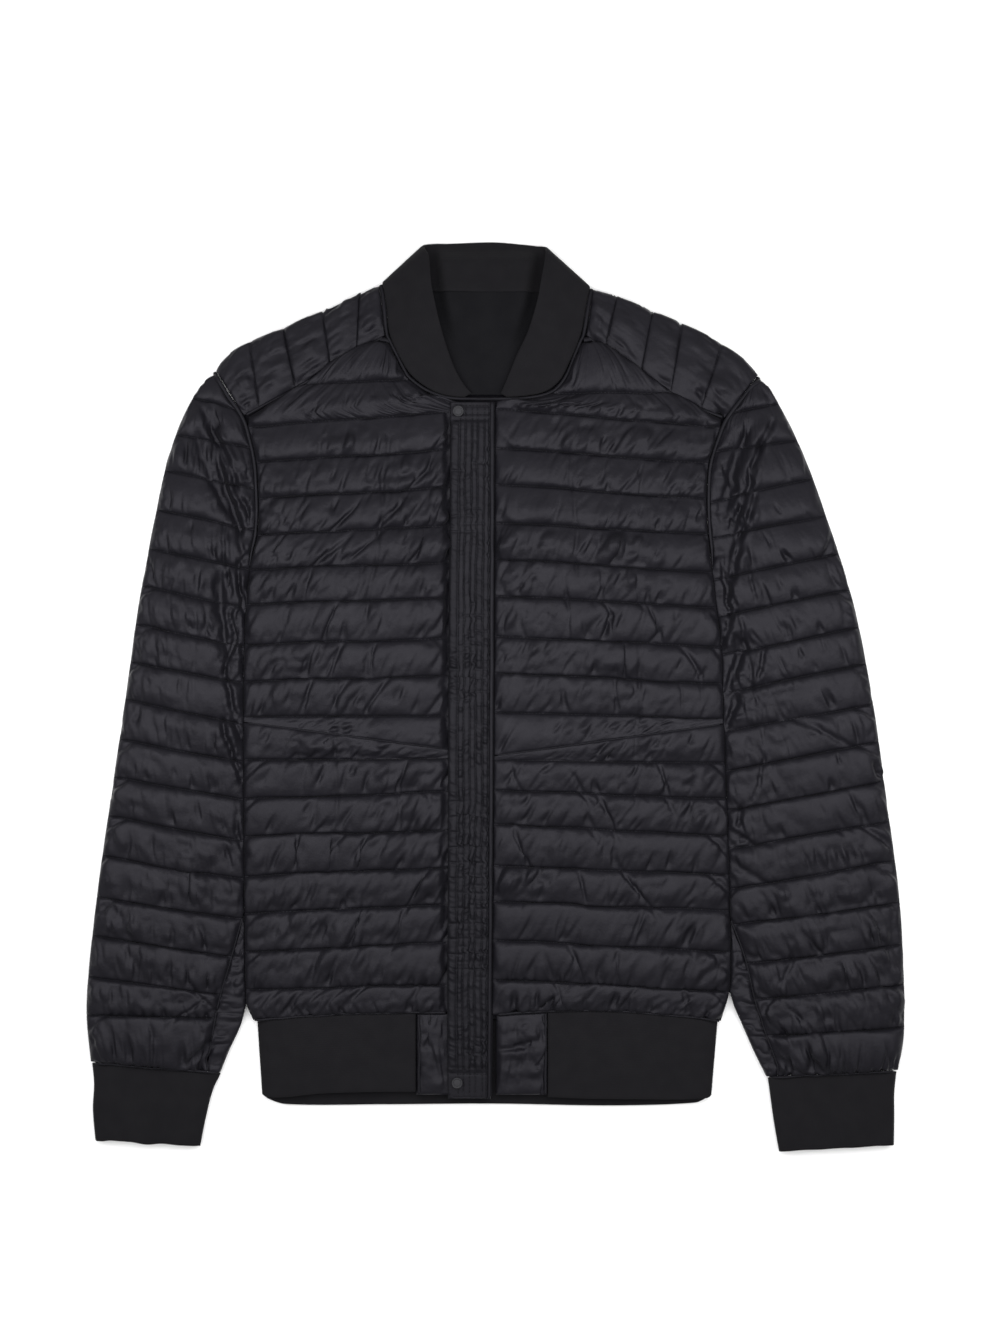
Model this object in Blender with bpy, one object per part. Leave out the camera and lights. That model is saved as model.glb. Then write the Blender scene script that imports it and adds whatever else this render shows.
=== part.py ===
"""Quilted bomber jacket, fastened and laid flat on its back.

The jacket lies on the plane z = 0 with its collar towards +Y and its front up.
The wearer's right is at -X and the wearer's left at +X. Lengths in the tables
are millimetres; MM turns them into metres when a mesh is made.

The cloth lies in two layers. The lower layer is the back and the under sleeves,
flat where they rest. The upper layer is the fronts and the upper sleeves, padded
walls whose channels rise between rows of quilting. The yokes, the collar, the
hem band and the cuffs go round from one layer to the other.
"""

import math
from collections import namedtuple

import bmesh
import bpy

MM = 0.001

# Heights of the two layers, millimetres above the surface that it lies on.
LOWER_TOP = 7.3
UPPER_LOW = 8.0
STITCH_WALL = 3.0
PUFF = 8.5
FULLNESS = 3.0
SLEEVE_FULLNESS = 5.0

# Edges and seams.
SEAM_GAP = 0.3
SEAM_FLAT = 2.6
SEAM_RISE = 14.0
FOLD_REACH = 17.0
FOLD_RIM = 1.4
LAP_REACH = 41.6
LAP_RISE = 11.0
LAP_EASE = 10.0

# Knit trim and flaps.
COLLAR_WALL = 3.2
FOLD_HOLLOW = 3.0
LINING_WALL = 1.4
UNDERLAP_WALL = 4.2
PLACKET_WALL = 2.8
PIPING_RADIUS = 1.25
CORD_ROOM = 2.9
ARMHOLE_FOOT = 112.0
SHOULDER_Y = 275.0
SHOULDER_REACH = 60.0
SNAP_RADIUS = 4.7
SNAP_HEIGHT = 2.0

# Puff of the rows of points above a front's first quilting line, where it isn't NECK_PUFF.
NECK_PUFF = 0.8
NECK_PUFFS = {-1.0: 0.0, 0.0: 0.0, 0.75: 0.35}

# Heights of the flaps over the right front.
LAP_TOP = UPPER_LOW + UNDERLAP_WALL
PLACKET_LOW = LAP_TOP + SEAM_GAP
PLACKET_TOP = PLACKET_LOW + PLACKET_WALL

# The under sleeve: how far its rounding reaches from each edge, and how high the strip
# of it that shows stands over the layer below.
UNDER_REACH = 8.0
STRIP_CLIMB = 3.6

# Rows of points between two quilting lines, as (place in the channel, puff).
CHANNEL_ROWS = ((0.0, 0.0), (0.28, 0.93), (0.72, 0.93))
# Columns of points as shares of a panel's width. The first three of a front that laps
# under the placket are lengths from its side instead.
FRONT_SHARES = (0.0, 0.013, 0.05, 0.16, 0.44, 0.72, 0.91, 0.985, 1.0)
LAPPED_FRONT_LENGTHS = (0.0, 2.8, 9.0)
LAPPED_FRONT_SHARES = (0.16, 0.40, 0.62)
SLEEVE_SHARES = (0.0, 0.02, 0.07, 0.18, 0.45, 0.72, 0.88, 0.96, 1.0)

# ---------------------------------------------------------------- outline tables
# Each outline is a table of (y, x), from the collar down.
BODY_EDGE_RIGHT = (
    (242.7, -217.8), (210.0, -209.4), (180.0, -206.8), (144.0, -207.2), (112.0, -214.0),
    (67.0, -217.9), (-2.0, -219.7), (-176.0, -218.8), (-262.0, -217.6), (-270.0, -216.2),
    (-277.5, -212.9), (-283.0, -210.4),
)
BODY_EDGE_LEFT = (
    (241.0, 198.6), (204.0, 186.0), (163.0, 184.0), (128.0, 186.6), (84.0, 191.8),
    (41.0, 196.8), (-20.0, 198.8), (-90.0, 201.4), (-176.0, 204.0), (-254.0, 203.8),
    (-284.0, 195.8),
)
ARMHOLE_RIGHT = ((284.5, -244.9), (264.0, -233.4), (242.7, -217.8))
ARMHOLE_LEFT = ((280.1, 230.1), (258.0, 212.5), (241.0, 198.6))
SLEEVE_OUTER_RIGHT = (
    (284.5, -244.9), (258.4, -264.9), (214.9, -283.2), (171.4, -293.6), (84.4, -310.2),
    (-2.6, -322.6), (-89.6, -335.4), (-176.6, -347.6), (-268.0, -356.3), (-318.4, -352.6),
)
SLEEVE_OUTER_LEFT = (
    (280.1, 230.1), (258.4, 244.9), (214.9, 266.7), (171.4, 283.2), (84.4, 311.0),
    (-2.6, 328.4), (-89.6, 340.6), (-176.6, 351.9), (-262.0, 356.3), (-298.0, 355.4),
    (-326.2, 350.4),
)
# Below these heights the sleeve's inner edge leaves the body.
CREVICE_RIGHT = ((-268.0, -217.4), (-284.5, -221.6), (-298.4, -227.5), (-312.3, -234.5), (-328.0, -240.2))
CREVICE_LEFT = ((-258.0, 204.6), (-270.6, 208.4), (-284.5, 214.5), (-298.4, 220.5), (-312.3, 226.8),
                (-332.0, 236.6))
# The seam of the sleeve that comes round onto its upper side above the cuff.
SLEEVE_SEAM_RIGHT = ((-188.0, -219.6), (-229.0, -231.0), (-270.0, -242.3), (-319.0, -251.0))
SLEEVE_SEAM_LEFT = ((-190.0, 203.6), (-225.3, 217.0), (-269.0, 227.6), (-322.0, 246.2))

QuiltLine = namedtuple("QuiltLine", "side_y front_y")
SleeveLine = namedtuple("SleeveLine", "outer_y inner_y")
YokeLine = namedtuple("YokeLine", "seam_x seam_y fold_x fold_y back_x back_y bulge")
BandStation = namedtuple("BandStation", "x side low_y z_out z_in inset")
CollarStation = namedtuple("CollarStation", "seam_x seam_y edge_x edge_y seam_z edge_z lean")

# The top of each front, from the point at the neck and yoke to the first full channel.
# place: quilting line number; side: end on the yoke seam; front: end on the neck seam.
NeckRow = namedtuple("NeckRow", "place side_x side_y front_x front_y")
NECK_ROWS_RIGHT = (
    NeckRow(-1.0, -103.0, 308.5, -93.2, 308.0),
    NeckRow(-0.7, -118.0, 300.0, -88.6, 298.5),
    NeckRow(-0.3, -146.0, 283.2, -82.0, 285.5),
    NeckRow(0.0, -168.3, 270.6, -75.6, 276.2),
    NeckRow(0.35, -190.0, 258.6, -59.6, 265.0),
    NeckRow(0.75, -214.6, 243.6, -41.0, 259.0),
)
NECK_ROWS_LEFT = (
    NeckRow(-1.0, 86.6, 307.8, 75.2, 308.2),
    NeckRow(-0.7, 101.0, 298.2, 70.6, 297.0),
    NeckRow(-0.3, 128.0, 280.2, 61.6, 276.6),
    NeckRow(0.0, 153.0, 264.2, 50.0, 264.4),
    NeckRow(0.35, 174.0, 252.6, 28.0, 258.8),
    NeckRow(0.75, 196.0, 241.8, 1.6, 258.0),
)
FRONT_LINES_RIGHT = (
    QuiltLine(234.9, 250.6), QuiltLine(204.0, 217.5), QuiltLine(172.3, 184.9),
    QuiltLine(140.5, 151.4), QuiltLine(110.5, 118.3), QuiltLine(80.5, 87.0),
    QuiltLine(45.2, 52.6), QuiltLine(13.1, 20.4), QuiltLine(-17.6, -16.5),
    QuiltLine(-54.5, -53.6), QuiltLine(-88.7, -80.9), QuiltLine(-121.8, -114.4),
    QuiltLine(-156.2, -147.0), QuiltLine(-188.8, -179.2), QuiltLine(-221.9, -211.4),
    QuiltLine(-254.9, -249.7), QuiltLine(-281.6, -276.4),
)
FRONT_LINES_LEFT = (
    QuiltLine(234.0, 250.6), QuiltLine(203.1, 216.6), QuiltLine(172.3, 184.9),
    QuiltLine(141.3, 151.4), QuiltLine(108.3, 120.1), QuiltLine(77.8, 87.9),
    QuiltLine(43.5, 53.1), QuiltLine(11.3, 20.9), QuiltLine(-19.0, -13.6),
    QuiltLine(-57.4, -55.0), QuiltLine(-88.7, -80.9), QuiltLine(-120.9, -110.5),
    QuiltLine(-154.9, -146.6), QuiltLine(-186.2, -177.9), QuiltLine(-222.0, -211.4),
    QuiltLine(-257.0, -246.2), QuiltLine(-282.4, -277.0),
)
# How far the hem seam of each front bows up between its side and the placket.
HEM_BOW_RIGHT = 3.6
HEM_BOW_LEFT = 6.2
HEM_BOW_REACH = 30.0
# The waist seam crosses one channel: it starts at the side near line UPPER_LINES and
# ends at the placket near the next line.
UPPER_LINES = 9
WAIST_RIGHT = QuiltLine(-22.0, -50.6)
WAIST_LEFT = QuiltLine(-23.4, -51.4)

SLEEVE_LINES_RIGHT = (
    SleeveLine(283.4, 277.0), SleeveLine(260.1, 250.5), SleeveLine(227.9, 216.6),
    SleeveLine(196.6, 181.0), SleeveLine(162.7, 145.3), SleeveLine(128.8, 110.5),
    SleeveLine(96.6, 77.4), SleeveLine(63.5, 43.5), SleeveLine(30.5, 12.2),
    SleeveLine(-1.7, -23.5), SleeveLine(-36.5, -56.6), SleeveLine(-69.6, -89.6),
    SleeveLine(-103.5, -125.3), SleeveLine(-138.3, -158.3), SleeveLine(-174.0, -193.1),
    SleeveLine(-207.9, -226.2), SleeveLine(-243.6, -259.3), SleeveLine(-277.5, -279.3),
    SleeveLine(-317.6, -327.0),
)
SLEEVE_LINES_LEFT = (
    SleeveLine(279.2, 272.0), SleeveLine(255.0, 247.0), SleeveLine(222.7, 213.2),
    SleeveLine(189.7, 169.1), SleeveLine(157.5, 138.0), SleeveLine(124.4, 101.8),
    SleeveLine(93.1, 70.0), SleeveLine(60.5, 36.5), SleeveLine(28.7, 3.5),
    SleeveLine(-6.1, -30.5), SleeveLine(-39.2, -64.8), SleeveLine(-73.1, -98.7),
    SleeveLine(-108.8, -132.2), SleeveLine(-142.7, -167.5), SleeveLine(-179.2, -198.4),
    SleeveLine(-215.8, -232.0), SleeveLine(-250.6, -263.2), SleeveLine(-287.5, -295.0),
    SleeveLine(-325.0, -330.6),
)

# Each yoke, a row for each line of its quilting, from the neck to the armhole:
# end on the front seam, place on the shoulder fold, end on the back seam, and how far
# the fold of the channel after it stands out.
YOKE_LINES_RIGHT = (
    YokeLine(-96.4, 314.8, -101.4, 359.6, -100.4, 322.0, 0.0),
    YokeLine(-121.0, 300.6, -118.4, 353.2, -120.0, 313.0, 0.0),
    YokeLine(-143.4, 287.4, -152.0, 336.4, -150.0, 297.0, 0.0),
    YokeLine(-173.8, 269.6, -185.4, 321.4, -182.0, 282.0, 0.8),
    YokeLine(-205.6, 252.4, -214.6, 309.8, -208.0, 270.0, 4.4),
    YokeLine(-219.2, 245.2, -244.4, 285.4, -228.0, 259.6, 0.0),
)
YOKE_LINES_LEFT = (
    YokeLine(79.2, 314.8, 85.0, 355.8, 84.0, 319.0, 0.0),
    YokeLine(95.6, 303.2, 107.0, 349.6, 106.0, 311.0, 0.0),
    YokeLine(126.4, 282.8, 137.8, 336.4, 136.0, 296.0, 0.6),
    YokeLine(152.4, 265.2, 163.6, 325.8, 162.0, 284.0, 1.4),
    YokeLine(178.6, 251.4, 198.0, 307.6, 190.0, 268.0, 3.6),
    YokeLine(199.8, 243.4, 229.2, 281.0, 210.0, 257.4, 0.0),
)
# The back below its neck seam: (y, right end, left end). The yokes' back seams follow,
# then its sides at these heights.
BACK_NECK_ROWS = ((351.2, -74.0, 62.0), (338.0, -91.0, 78.0))
BACK_SIDE_HEIGHTS = (240.0, 225.0, 210.0, 180.0, 144.0, 112.0, 67.0, 0.0, -88.0, -176.0, -230.0, -262.0,
                     -281.0)

# The hem band, from its end at the right tab round the back to the left tab.
# side: which seam its top edge follows; inset: how far its inner face stands in.
HEM_STATIONS = (
    BandStation(-69.6, "right", -343.8, 12.0, 8.0, 0.0),
    BandStation(-110.0, "right", -344.0, 12.2, 8.0, 0.0),
    BandStation(-152.0, "right", -345.4, 12.2, 8.0, 0.0),
    BandStation(-186.0, "right", -348.8, 11.8, 8.0, 0.0),
    BandStation(-199.0, "right", -348.6, 10.6, 7.6, 0.0),
    BandStation(-207.8, "right", -346.4, 6.2, 6.4, 4.2),
    BandStation(-199.0, "back", -350.4, 1.2, 4.8, 0.0),
    BandStation(-183.0, "back", -355.6, 0.0, 4.2, 0.0),
    BandStation(-100.0, "back", -355.8, 0.0, 4.2, 0.0),
    BandStation(0.0, "back", -355.2, 0.0, 4.2, 0.0),
    BandStation(100.0, "back", -356.8, 0.0, 4.2, 0.0),
    BandStation(174.0, "back", -354.4, 0.0, 4.2, 0.0),
    BandStation(184.0, "back", -350.0, 1.2, 4.8, 0.0),
    BandStation(193.8, "left", -346.4, 6.2, 6.4, 4.2),
    BandStation(184.6, "left", -349.4, 10.6, 7.6, 0.0),
    BandStation(161.0, "left", -350.6, 12.0, 8.0, 0.0),
    BandStation(130.0, "left", -350.4, 12.2, 8.0, 0.0),
    BandStation(104.0, "left", -350.2, 12.2, 8.0, 0.0),
    BandStation(74.0, "left", -349.6, 12.2, 8.0, 0.0),
    BandStation(45.6, "left", -348.4, 12.0, 8.0, 0.0),
)
BACK_HEM_Y = -281.0
# How far the folds of the hem band lean inwards at its lower edge.
HEM_LEAN_RIGHT = 4.2
HEM_LEAN_LEFT = -5.4

# The collar, from its right front end round the back of the neck to its left front end.
# lean: which way the outer face looks, 1 up, -1 down, 0 outwards at a fold.
COLLAR_STATIONS = (
    CollarStation(-27.0, 261.2, -21.0, 264.6, 10.6, 11.0, 1.0),
    CollarStation(-41.0, 262.4, -27.0, 271.4, 10.6, 12.2, 1.0),
    CollarStation(-56.4, 267.6, -34.2, 283.4, 10.6, 13.0, 1.0),
    CollarStation(-73.6, 280.8, -41.2, 301.0, 10.6, 13.4, 1.0),
    CollarStation(-84.4, 297.6, -46.8, 319.0, 10.6, 13.6, 1.0),
    CollarStation(-92.4, 316.6, -51.6, 338.0, 10.6, 13.6, 1.0),
    CollarStation(-95.0, 337.6, -55.8, 360.0, 10.6, 13.6, 1.0),
    CollarStation(-96.8, 353.6, -58.4, 384.0, 10.2, 12.4, 0.9),
    CollarStation(-98.0, 360.2, -62.6, 393.0, 7.0, 6.6, 0.0),
    CollarStation(-93.0, 359.0, -55.0, 395.4, 3.6, 1.6, -0.9),
    CollarStation(-68.0, 354.4, -42.0, 395.8, 3.0, 0.0, -1.0),
    CollarStation(-6.0, 352.0, -2.0, 397.0, 3.0, 0.0, -1.0),
    CollarStation(54.0, 353.4, 24.0, 395.0, 3.0, 0.0, -1.0),
    CollarStation(76.0, 356.0, 36.0, 393.4, 3.6, 1.6, -0.9),
    CollarStation(81.6, 357.0, 43.4, 391.6, 7.0, 6.6, 0.0),
    CollarStation(80.4, 350.0, 43.4, 384.0, 10.2, 12.4, 0.9),
    CollarStation(78.4, 336.4, 40.4, 366.0, 10.6, 13.6, 1.0),
    CollarStation(74.0, 315.0, 36.0, 343.0, 10.6, 13.6, 1.0),
    CollarStation(64.8, 292.4, 27.8, 317.0, 10.6, 13.4, 1.0),
    CollarStation(55.6, 275.6, 19.0, 298.6, 10.6, 13.0, 1.0),
    CollarStation(42.4, 265.8, 12.0, 281.8, 10.6, 12.4, 1.0),
    CollarStation(22.0, 261.9, 6.4, 268.4, 10.6, 12.0, 1.0),
    CollarStation(9.6, 261.4, 4.4, 264.4, 10.6, 11.0, 1.0),
)

# The inner back inside the collar: (y, right end, left end).
LINING_ROWS = ((350.8, -72.0, 60.0), (320.0, -78.0, 62.0), (296.0, -70.0, 54.0), (276.0, -52.0, 42.0),
               (263.4, -30.0, 20.0))

# Each cuff, a row from the sleeve to its open end: outer end and inner end.
CuffRow = namedtuple("CuffRow", "outer_x outer_y inner_x inner_y")
CUFF_RIGHT = (
    CuffRow(-352.0, -319.4, -239.8, -328.6),
    CuffRow(-350.4, -337.0, -246.6, -343.0),
    CuffRow(-351.4, -360.0, -252.6, -366.0),
    CuffRow(-349.2, -386.2, -257.6, -391.6),
)
CUFF_LEFT = (
    CuffRow(349.8, -326.8, 237.6, -332.4),
    CuffRow(348.0, -346.0, 240.0, -350.0),
    CuffRow(348.0, -366.0, 242.8, -370.4),
    CuffRow(347.6, -390.6, 247.4, -396.6),
)

# Round each cuff: place across it and height, of the outer face and of the hollow.
CuffSpot = namedtuple("CuffSpot", "place z hollow_z hollow_place")
CUFF_SECTION = (
    CuffSpot(0.0, 5.3, 5.3, 0.040), CuffSpot(0.035, 9.4, 5.9, 0.055), CuffSpot(0.14, 10.8, 6.4, 0.14),
    CuffSpot(0.5, 11.2, 6.6, 0.5), CuffSpot(0.86, 10.8, 6.4, 0.86), CuffSpot(0.965, 9.4, 5.9, 0.945),
    CuffSpot(1.0, 5.3, 5.3, 0.960), CuffSpot(0.965, 1.2, 4.9, 0.945), CuffSpot(0.86, 0.0, 4.6, 0.86),
    CuffSpot(0.5, 0.0, 4.6, 0.5), CuffSpot(0.14, 0.0, 4.6, 0.14), CuffSpot(0.035, 1.2, 4.9, 0.055),
)

# The placket: (y, free edge, edge at the binding, outer edge of the binding).
PLACKET_ROWS = (
    (256.6, -39.4, -5.2, 0.3), (180.0, -40.0, -5.2, 0.2), (60.0, -41.0, -5.4, -0.2),
    (-60.0, -41.4, -6.0, -0.8), (-180.0, -41.8, -6.6, -1.6), (-300.0, -42.2, -7.2, -2.6),
    (-349.6, -41.6, -7.6, -3.2),
)
# The tabs beside its foot: ends, and how much of each lies under the placket.
Tab = namedtuple("Tab", "name sign start end lap")
TABS = (Tab("hem_tab_right", -1, -69.0, -4.6, 38.0), Tab("hem_tab_left", 1, 0.6, 45.0, 0.0))
TAB_LOW_Y = -346.6
TAB_PUFF = 2.6
SNAP_PLACES = {"snap_top": (-32.4, 248.6), "snap_bottom": (-33.4, -335.6)}

# The cord in the neck seam as (x, y, z), and the heights that the armhole cords go through.
CORD_Z = UPPER_LOW + STITCH_WALL + 0.5
CORD_FOLD_Z = UPPER_LOW + 1.0
NECK_CORD = (
    (-99.7, 358.6, 6.6), (-98.6, 352.6, CORD_FOLD_Z), (-97.2, 340.0, CORD_Z), (-94.6, 316.0, CORD_Z),
    (-91.4, 308.8, CORD_Z), (-86.9, 299.5, CORD_Z), (-80.4, 286.7, CORD_Z), (-74.7, 277.9, CORD_Z),
    (-58.9, 266.6, CORD_Z), (-41.0, 260.7, CORD_Z), (-20.0, 259.6, CORD_Z), (1.6, 259.6, CORD_Z),
    (28.0, 260.5, CORD_Z), (49.2, 265.9, CORD_Z), (60.3, 277.6, CORD_Z), (69.0, 297.6, CORD_Z),
    (73.4, 308.6, CORD_Z), (76.6, 315.4, CORD_Z), (80.4, 337.0, CORD_Z), (82.3, 349.6, CORD_FOLD_Z),
    (83.4, 355.2, 6.6),
)
ARMHOLE_CORD_HEIGHTS = (238.0, 226.0, 214.0, 202.0, 190.0, 176.0, 162.0, 150.0, 138.0, 128.0)

# Over each yoke: place from its front seam to the fold, lift and share of its puff. The
# layer below ends at YOKE_HOLLOW_END.
YokeSpot = namedtuple("YokeSpot", "place lift puff")
YOKE_SPOTS = (YokeSpot(0.0, 0.0, 0.0), YokeSpot(0.06, 0.0, 0.0), YokeSpot(0.28, 1.5, 0.75),
              YokeSpot(0.62, 2.5, 0.9), YokeSpot(0.86, 0.5, 0.6))
YOKE_PUFF = 0.8 * PUFF
YOKE_HOLLOW_END = 0.8

# Across the collar's strip: place, and share of its thickness.
COLLAR_SPOTS = ((0.0, 0.62), (0.12, 1.0), (0.5, 1.0), (0.88, 1.0), (1.0, 0.62))

# Down the hem band: place, and share of the way from its middle to its face.
HEM_SPOTS = ((0.0, 0.8), (0.1, 1.0), (0.5, 1.0), (0.9, 1.0), (1.0, 0.55))

# Finishes: name, colour, roughness, metallic.
NYLON = ("nylon", (0.020, 0.020, 0.024, 1.0), 0.38, 0.0)
KNIT = ("knit", (0.018, 0.018, 0.019, 1.0), 0.85, 0.0)
LINING = ("lining", (0.016, 0.016, 0.018, 1.0), 0.6, 0.0)
SNAP = ("snap", (0.075, 0.077, 0.080, 1.0), 0.42, 0.6)


# ---------------------------------------------------------------- helpers
def remove_everything():
    """Start from an empty scene."""
    for scene_object in list(bpy.data.objects):
        bpy.data.objects.remove(scene_object, do_unlink=True)


def material(finish):
    """The material called by a finish: (name, colour, roughness, metallic)."""
    name, colour, roughness, metallic = finish
    found = bpy.data.materials.get(name)
    if found:
        return found
    made = bpy.data.materials.new(name)
    made.use_nodes = True
    made.diffuse_color = colour
    shader = made.node_tree.nodes["Principled BSDF"]
    shader.inputs["Base Color"].default_value = colour
    shader.inputs["Roughness"].default_value = roughness
    shader.inputs["Metallic"].default_value = metallic
    return made


def read(table, y):
    """The value of a (y, value) table at height y, on a smooth line through its rows."""
    if y >= table[0][0]:
        return table[0][1]
    if y <= table[-1][0]:
        return table[-1][1]
    i = 0
    while table[i + 1][0] > y:
        i += 1

    def slope(k):
        low = max(k - 1, 0)
        high = min(k + 1, len(table) - 1)
        return (table[high][1] - table[low][1]) / (table[high][0] - table[low][0])

    y0, x0 = table[i]
    y1, x1 = table[i + 1]
    span = y1 - y0
    t = (y - y0) / span
    return (x0 * (2 * t**3 - 3 * t**2 + 1) + x1 * (3 * t**2 - 2 * t**3)
            + span * (slope(i) * (t**3 - 2 * t**2 + t) + slope(i + 1) * (t**3 - t**2)))


def mix(a, b, t):
    """The number a fraction t of the way from a to b."""
    return a + (b - a) * t


def between(p, q, t):
    """The point a fraction t of the way from p to q."""
    return tuple(mix(a, b, t) for a, b in zip(p, q))


def smooth_step(t):
    """A soft rise from 0 to 1."""
    t = min(max(t, 0.0), 1.0)
    return t * t * (3.0 - 2.0 * t)


def round_step(t):
    """The rise of a rounded edge, from 0 to 1."""
    t = min(max(t, 0.0), 1.0)
    return math.sqrt(1.0 - (1.0 - t) ** 2)


def make_object(name, vertices, faces, finish):
    """One closed solid from points in millimetres."""
    mesh = bpy.data.meshes.new(name)
    mesh.from_pydata([(x * MM, y * MM, z * MM) for x, y, z in vertices], [], faces)
    work = bmesh.new()
    work.from_mesh(mesh)
    bmesh.ops.recalc_face_normals(work, faces=work.faces)
    bmesh.ops.triangulate(work, faces=work.faces)
    work.to_mesh(mesh)
    work.free()
    mesh.materials.append(material(finish))
    mesh.shade_smooth()
    mesh.set_sharp_from_angle(angle=math.radians(50))
    made = bpy.data.objects.new(name, mesh)
    bpy.context.scene.collection.objects.link(made)
    return made


def wall(name, outer, inner, finish):
    """A cloth wall between two grids of points, outer[row][column] and inner alike."""
    rows = len(outer)
    columns = len(outer[0])
    vertices = [point for row in outer for point in row] + [point for row in inner for point in row]
    lift = rows * columns

    def number(row, column):
        return row * columns + column

    faces = []
    for row in range(rows - 1):
        for column in range(columns - 1):
            a, b = number(row, column), number(row, column + 1)
            c, d = number(row + 1, column + 1), number(row + 1, column)
            faces.append((a, b, c, d))
            faces.append((lift + a, lift + d, lift + c, lift + b))
    rim = [number(0, column) for column in range(columns)]
    rim += [number(row, columns - 1) for row in range(1, rows)]
    rim += [number(rows - 1, column) for column in range(columns - 2, -1, -1)]
    rim += [number(row, 0) for row in range(rows - 2, 0, -1)]
    for a, b in zip(rim, rim[1:] + rim[:1]):
        faces.append((a, lift + a, lift + b, b))
    return make_object(name, vertices, faces, finish)


def ring_wall(name, outer, inner, finish):
    """A tube wall: each row of outer and inner is a closed ring of points."""
    rows = len(outer)
    columns = len(outer[0])
    vertices = [point for row in outer for point in row] + [point for row in inner for point in row]
    lift = rows * columns
    faces = []
    for row in range(rows - 1):
        for column in range(columns):
            after = (column + 1) % columns
            a, b = row * columns + column, row * columns + after
            c, d = b + columns, a + columns
            faces.append((a, b, c, d))
            faces.append((lift + a, lift + d, lift + c, lift + b))
    for row in (0, rows - 1):
        for column in range(columns):
            a = row * columns + column
            b = row * columns + (column + 1) % columns
            faces.append((a, b, lift + b, lift + a))
    return make_object(name, vertices, faces, finish)


def cord(name, points, radius, finish):
    """A round cord of cloth through points in millimetres."""
    curve = bpy.data.curves.new(name, "CURVE")
    curve.dimensions = "3D"
    curve.bevel_depth = radius * MM
    curve.bevel_resolution = 1
    curve.use_fill_caps = True
    spline = curve.splines.new("POLY")
    spline.points.add(len(points) - 1)
    for spot, (x, y, z) in zip(spline.points, points):
        spot.co = (x * MM, y * MM, z * MM, 1.0)
    curve.materials.append(material(finish))
    made = bpy.data.objects.new(name, curve)
    bpy.context.scene.collection.objects.link(made)
    return made


# ---------------------------------------------------------------- padded panels
def edge_factors(distance, kind):
    """How much of its stitched height and of its puff a panel has this far from an edge."""
    if kind == "fold":
        rise = round_step(distance / FOLD_REACH)
        return rise, rise
    if kind == "lap":
        return 1.0, smooth_step((distance - LAP_REACH) / LAP_EASE)
    return 1.0, smooth_step((distance - SEAM_FLAT) / SEAM_RISE)


def panel_row(start, end, puff, fractions, start_kind, end_kind, fullness, bow=0.0):
    """The upper and lower points of one row across a padded panel of the upper layer."""
    length = math.dist(start, end)
    upper = []
    lower = []
    for fraction in fractions:
        t = mix(SEAM_GAP / length, 1.0 - SEAM_GAP / length, fraction)
        x, y = between(start, end, t)
        y += bow * math.sin(math.pi * t)
        base_a, puff_a = edge_factors(t * length, start_kind)
        base_b, puff_b = edge_factors((1.0 - t) * length, end_kind)
        base = min(base_a, base_b)
        rise = puff * PUFF * puff_a * puff_b
        rise += fullness * math.sin(math.pi * t) * puff_a * puff_b
        z = UPPER_LOW + FOLD_RIM + base * (STITCH_WALL - FOLD_RIM) + rise
        upper.append((x, y, z))
        lower.append((x, y, UPPER_LOW))
    return upper, lower


def channel_stations(lines):
    """Stations down a panel, with the puff of each, from the ends of its quilting lines."""
    stations = []
    for line, following in zip(lines, lines[1:]):
        for place, puff in CHANNEL_ROWS:
            stations.append((between(line, following, place), puff))
    stations.append((tuple(lines[-1]), 0.0))
    return stations


def front_edge_x(sign, y):
    """Where a front ends: the right front under the placket, the left one at its seam."""
    seam = read([(row[0], row[3]) for row in PLACKET_ROWS], y)
    return seam - 1.0 if sign < 0 else seam + SEAM_GAP


def front_columns(kind, length):
    """Fractions across a front, from the side to the placket."""
    if kind != "lap":
        return FRONT_SHARES
    near_side = tuple(distance / length for distance in LAPPED_FRONT_LENGTHS)
    near_lap = (1.0 - (LAP_REACH + LAP_RISE) / length, 1.0 - LAP_REACH / length, 1.0)
    return near_side + LAPPED_FRONT_SHARES + near_lap


def hem_seam_y(sign, x):
    """The height of the hem seam of a front at x."""
    body_edge = BODY_EDGE_RIGHT if sign < 0 else BODY_EDGE_LEFT
    line = (FRONT_LINES_RIGHT if sign < 0 else FRONT_LINES_LEFT)[-1]
    bow = HEM_BOW_RIGHT if sign < 0 else HEM_BOW_LEFT
    side_x = read(body_edge, line.side_y)
    t = min(max((x - side_x) / (front_edge_x(sign, line.front_y) - side_x), 0.0), 1.0)
    return mix(line.side_y, line.front_y, t) + bow * math.sin(math.pi * t)


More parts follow.
